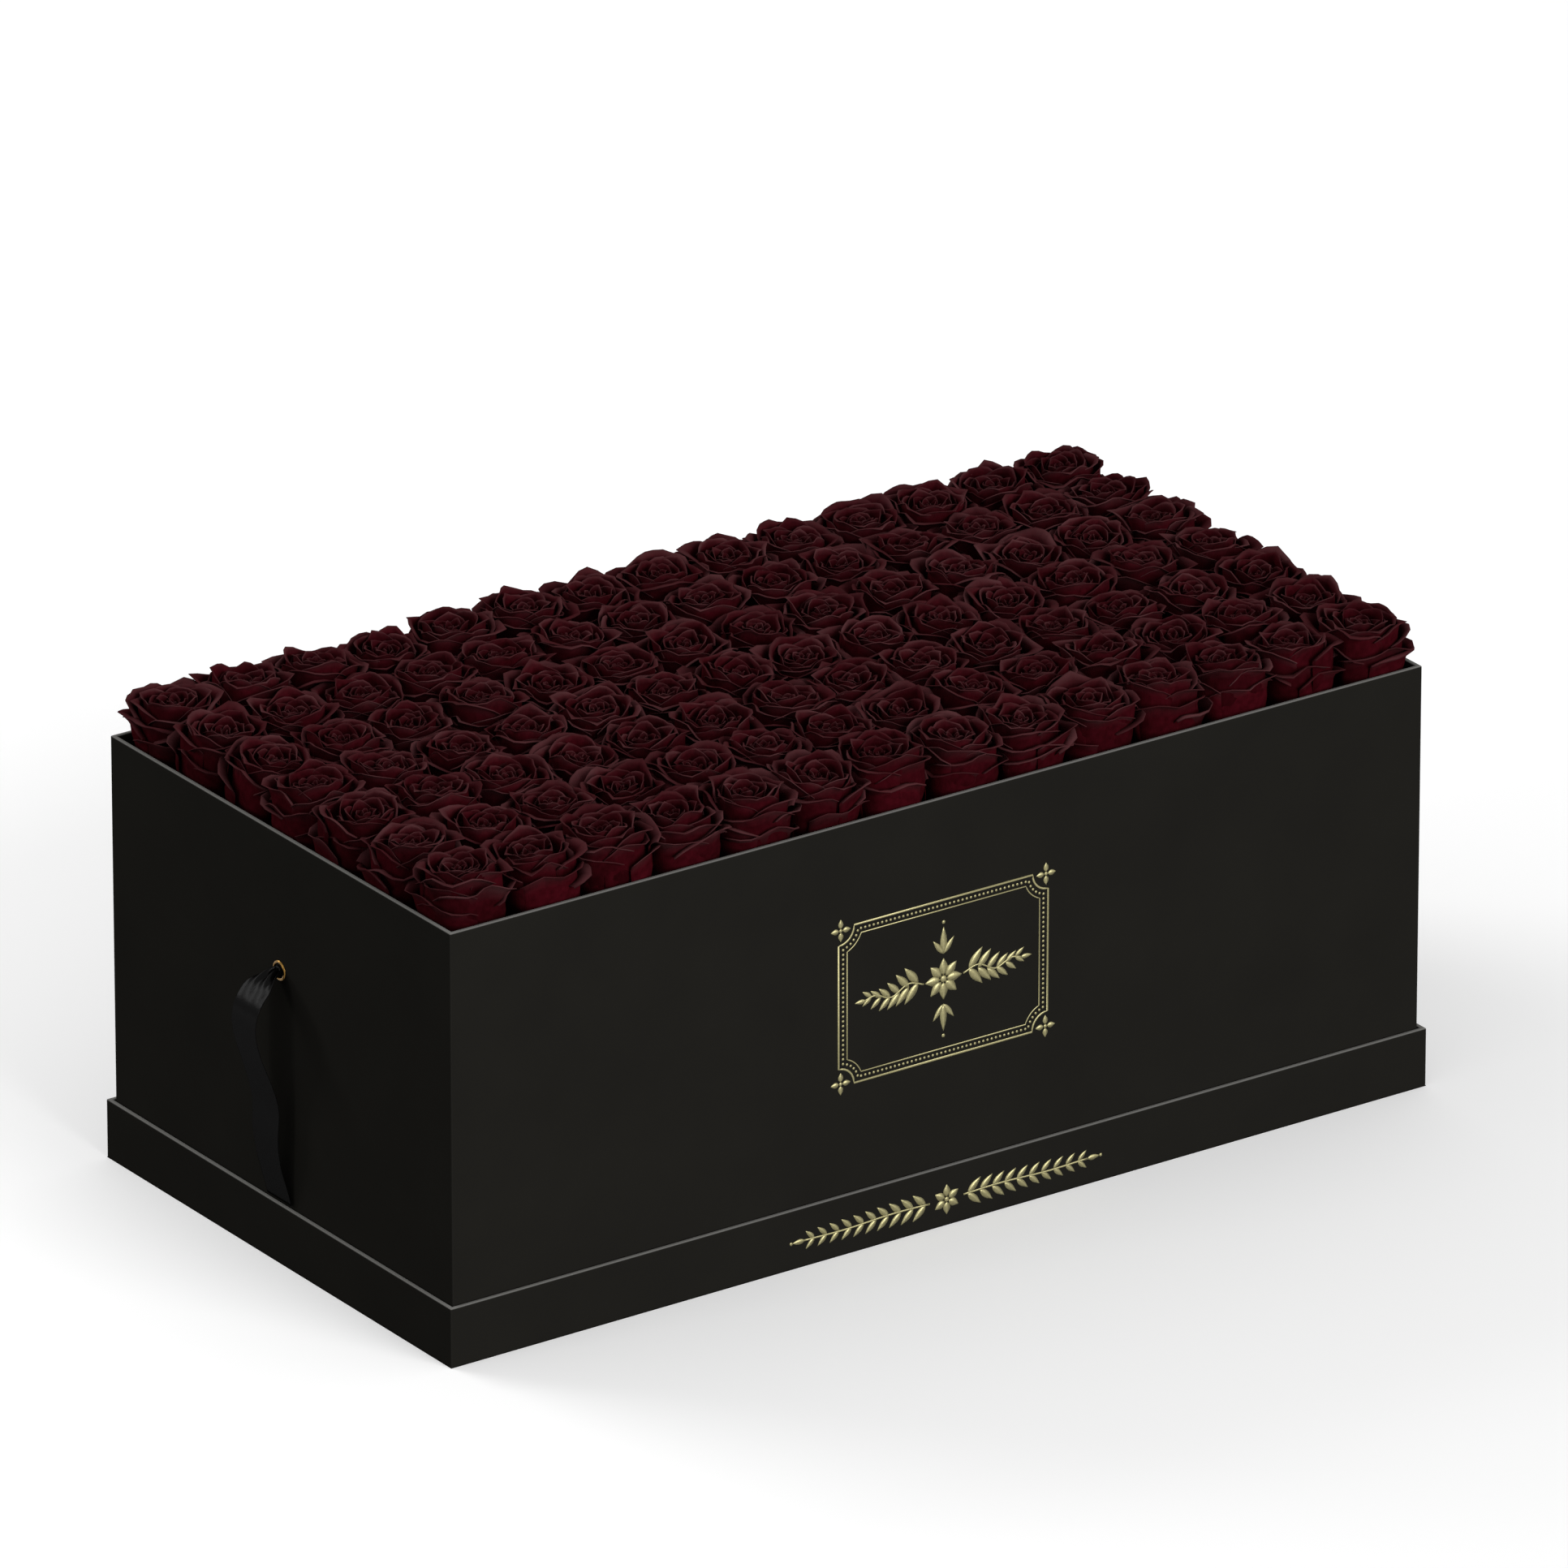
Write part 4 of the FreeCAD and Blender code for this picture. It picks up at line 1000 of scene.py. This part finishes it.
def band_print():
    """The band on the tray front: a flower at the middle and a leafy stem to either side, with a bead at
    each end."""
    parts = floret((0.0, 0.0), petals=6, reach=9.5, width=5.0)
    pair = np.arange(BAND_PAIRS)
    places = np.stack((15 + 8.8 * pair, np.zeros(BAND_PAIRS)), axis=-1)
    lengths = 12.5 - 0.45 * pair
    for way in (-1, 1):
        parts += sprig(way, BAND_SPINE, 1.2, places, lengths, BAND_TILT, BAND_TIP)
        parts.append(beads([(way * BAND_BEAD, 0.0)], 2.2))
    press_foil("tray_band_foil", parts, BAND_CENTRE, TRAY_LOW[1], "base_tray")


panel_print()
band_print()


# Studio

def seen_rays(tree):
    """1 for camera, mirror and clear rays, which show the background, and 0 for the rest."""
    rays = add(tree, "LightPath").outputs
    mirror = add(tree, "Math", {
        0: rays["Is Camera Ray"], 1: rays["Is Glossy Ray"]}, operation="MAXIMUM")
    clear = add(tree, "Math", {
        0: mirror.outputs[0], 1: rays["Is Transmission Ray"]}, operation="MAXIMUM")
    return clear.outputs[0]


def pale_floor():
    """A wide white floor that takes the object's soft shadow. Rays that show the background find it
    lifted a little, so that it is white past the shadow; rays that only carry bounced light find it a
    middle grey, so that it doesn't flood the object from below."""
    material, tree = blank_material("white_floor")
    bounce = add(tree, "BsdfDiffuse", {"Color": linear("#5c5c5c")})
    lit = add(tree, "BsdfDiffuse", {"Color": linear("#fbfbfb")})
    lift = add(tree, "Emission", {"Color": linear("#ffffff"), "Strength": 0.16})
    shown = add(tree, "AddShader", {0: lit.outputs[0], 1: lift.outputs[0]})
    mixed = add(tree, "MixShader", {
        0: seen_rays(tree), 1: bounce.outputs[0], 2: shown.outputs[0]})
    add(tree, "OutputMaterial", {"Surface": mixed.outputs[0]})
    reach = 9000.0
    points = np.array([(-reach, -reach, 0), (reach, -reach, 0), (reach, reach, 0), (-reach, reach, 0)])
    floor = make_piece("floor", points, np.array([[0, 1, 2, 3]]), material, smooth=False)


def studio_world():
    """White to camera, mirror and clear rays; for the object itself a softer even fill."""
    world = bpy.data.worlds.new("studio")
    world.use_nodes = True
    tree = world.node_tree
    tree.nodes.clear()
    fill = add(tree, "Background", {"Color": linear("#ffffff"), "Strength": 0.52})
    white = add(tree, "Background", {"Color": linear("#ffffff"), "Strength": 1.0})
    mixed = add(tree, "MixShader", {
        0: seen_rays(tree), 1: fill.outputs[0], 2: white.outputs[0]})
    add(tree, "OutputWorld", {"Surface": mixed.outputs[0]})
    bpy.context.scene.world = world


def key_sun(heading, height, softness, strength):
    """A broad even key light from a compass heading (0 is straight in front) and a height, in degrees."""
    data = bpy.data.lights.new("key_light", "SUN")
    data.angle = math.radians(softness)
    data.energy = strength
    lamp = bpy.data.objects.new("key_light", data)
    a, e = math.radians(heading), math.radians(height)
    way = Vector((math.sin(a) * math.cos(e), -math.cos(a) * math.cos(e), math.sin(e)))
    lamp.rotation_euler = way.to_track_quat("Z", "Y").to_euler()
    bpy.context.scene.collection.objects.link(lamp)


def soft_lamp(name, place, aim, size, power, lean=0.0):
    """A soft lamp of a width and a height that faces its aim and leans about its own axis by degrees;
    places and sizes are metres and power is watts."""
    data = bpy.data.lights.new(name, "AREA")
    data.shape = "RECTANGLE"
    data.size, data.size_y = size
    data.energy = power
    lamp = bpy.data.objects.new(name, data)
    lamp.location = place
    facing = (Vector(aim) - Vector(place)).to_track_quat("-Z", "Y").to_matrix()
    lamp.rotation_euler = (facing @ Matrix.Rotation(math.radians(lean), 3, "Z")).to_euler()
    bpy.context.scene.collection.objects.link(lamp)


def photo_camera():
    """The camera at the photograph's angle and distance, slid in its own image plane to frame the box as
    the photograph does."""
    azimuth, elevation = math.radians(-34.935), math.radians(23.120)
    aim = Vector((0.0, 0.0, 0.135))
    distance, slide_right, slide_up = 11.449, 0.00874, 0.0752
    back = Vector((
        math.sin(azimuth) * math.cos(elevation), -math.cos(azimuth) * math.cos(elevation),
        math.sin(elevation)))
    right = Vector((math.cos(azimuth), math.sin(azimuth), 0.0))
    up = back.cross(right)
    data = bpy.data.cameras.new("photo_camera")
    data.sensor_width = 36.0
    data.lens = 446.7
    data.clip_start, data.clip_end = 0.1, 60.0
    camera = bpy.data.objects.new("photo_camera", data)
    camera.location = aim + distance * back + slide_right * right + slide_up * up
    camera.rotation_euler = Matrix((right, up, back)).transposed().to_euler()
    bpy.context.scene.collection.objects.link(camera)
    bpy.context.scene.camera = camera


pale_floor()
studio_world()
photo_camera()
key_sun(heading=10, height=16, softness=40, strength=2.8)
soft_lamp(
    "back_lamp", place=(-1.45, 2.26, 1.71), aim=(-0.37, 0.0, 0.2), size=(0.45, 2.3), power=33.0, lean=44)
soft_lamp(
    "left_lamp", place=(-3.4, 0.15, 1.15), aim=(-0.345, 0.0, 0.15), size=(0.75, 0.75), power=13.0)

bpy.context.scene.view_settings.view_transform = "Standard"
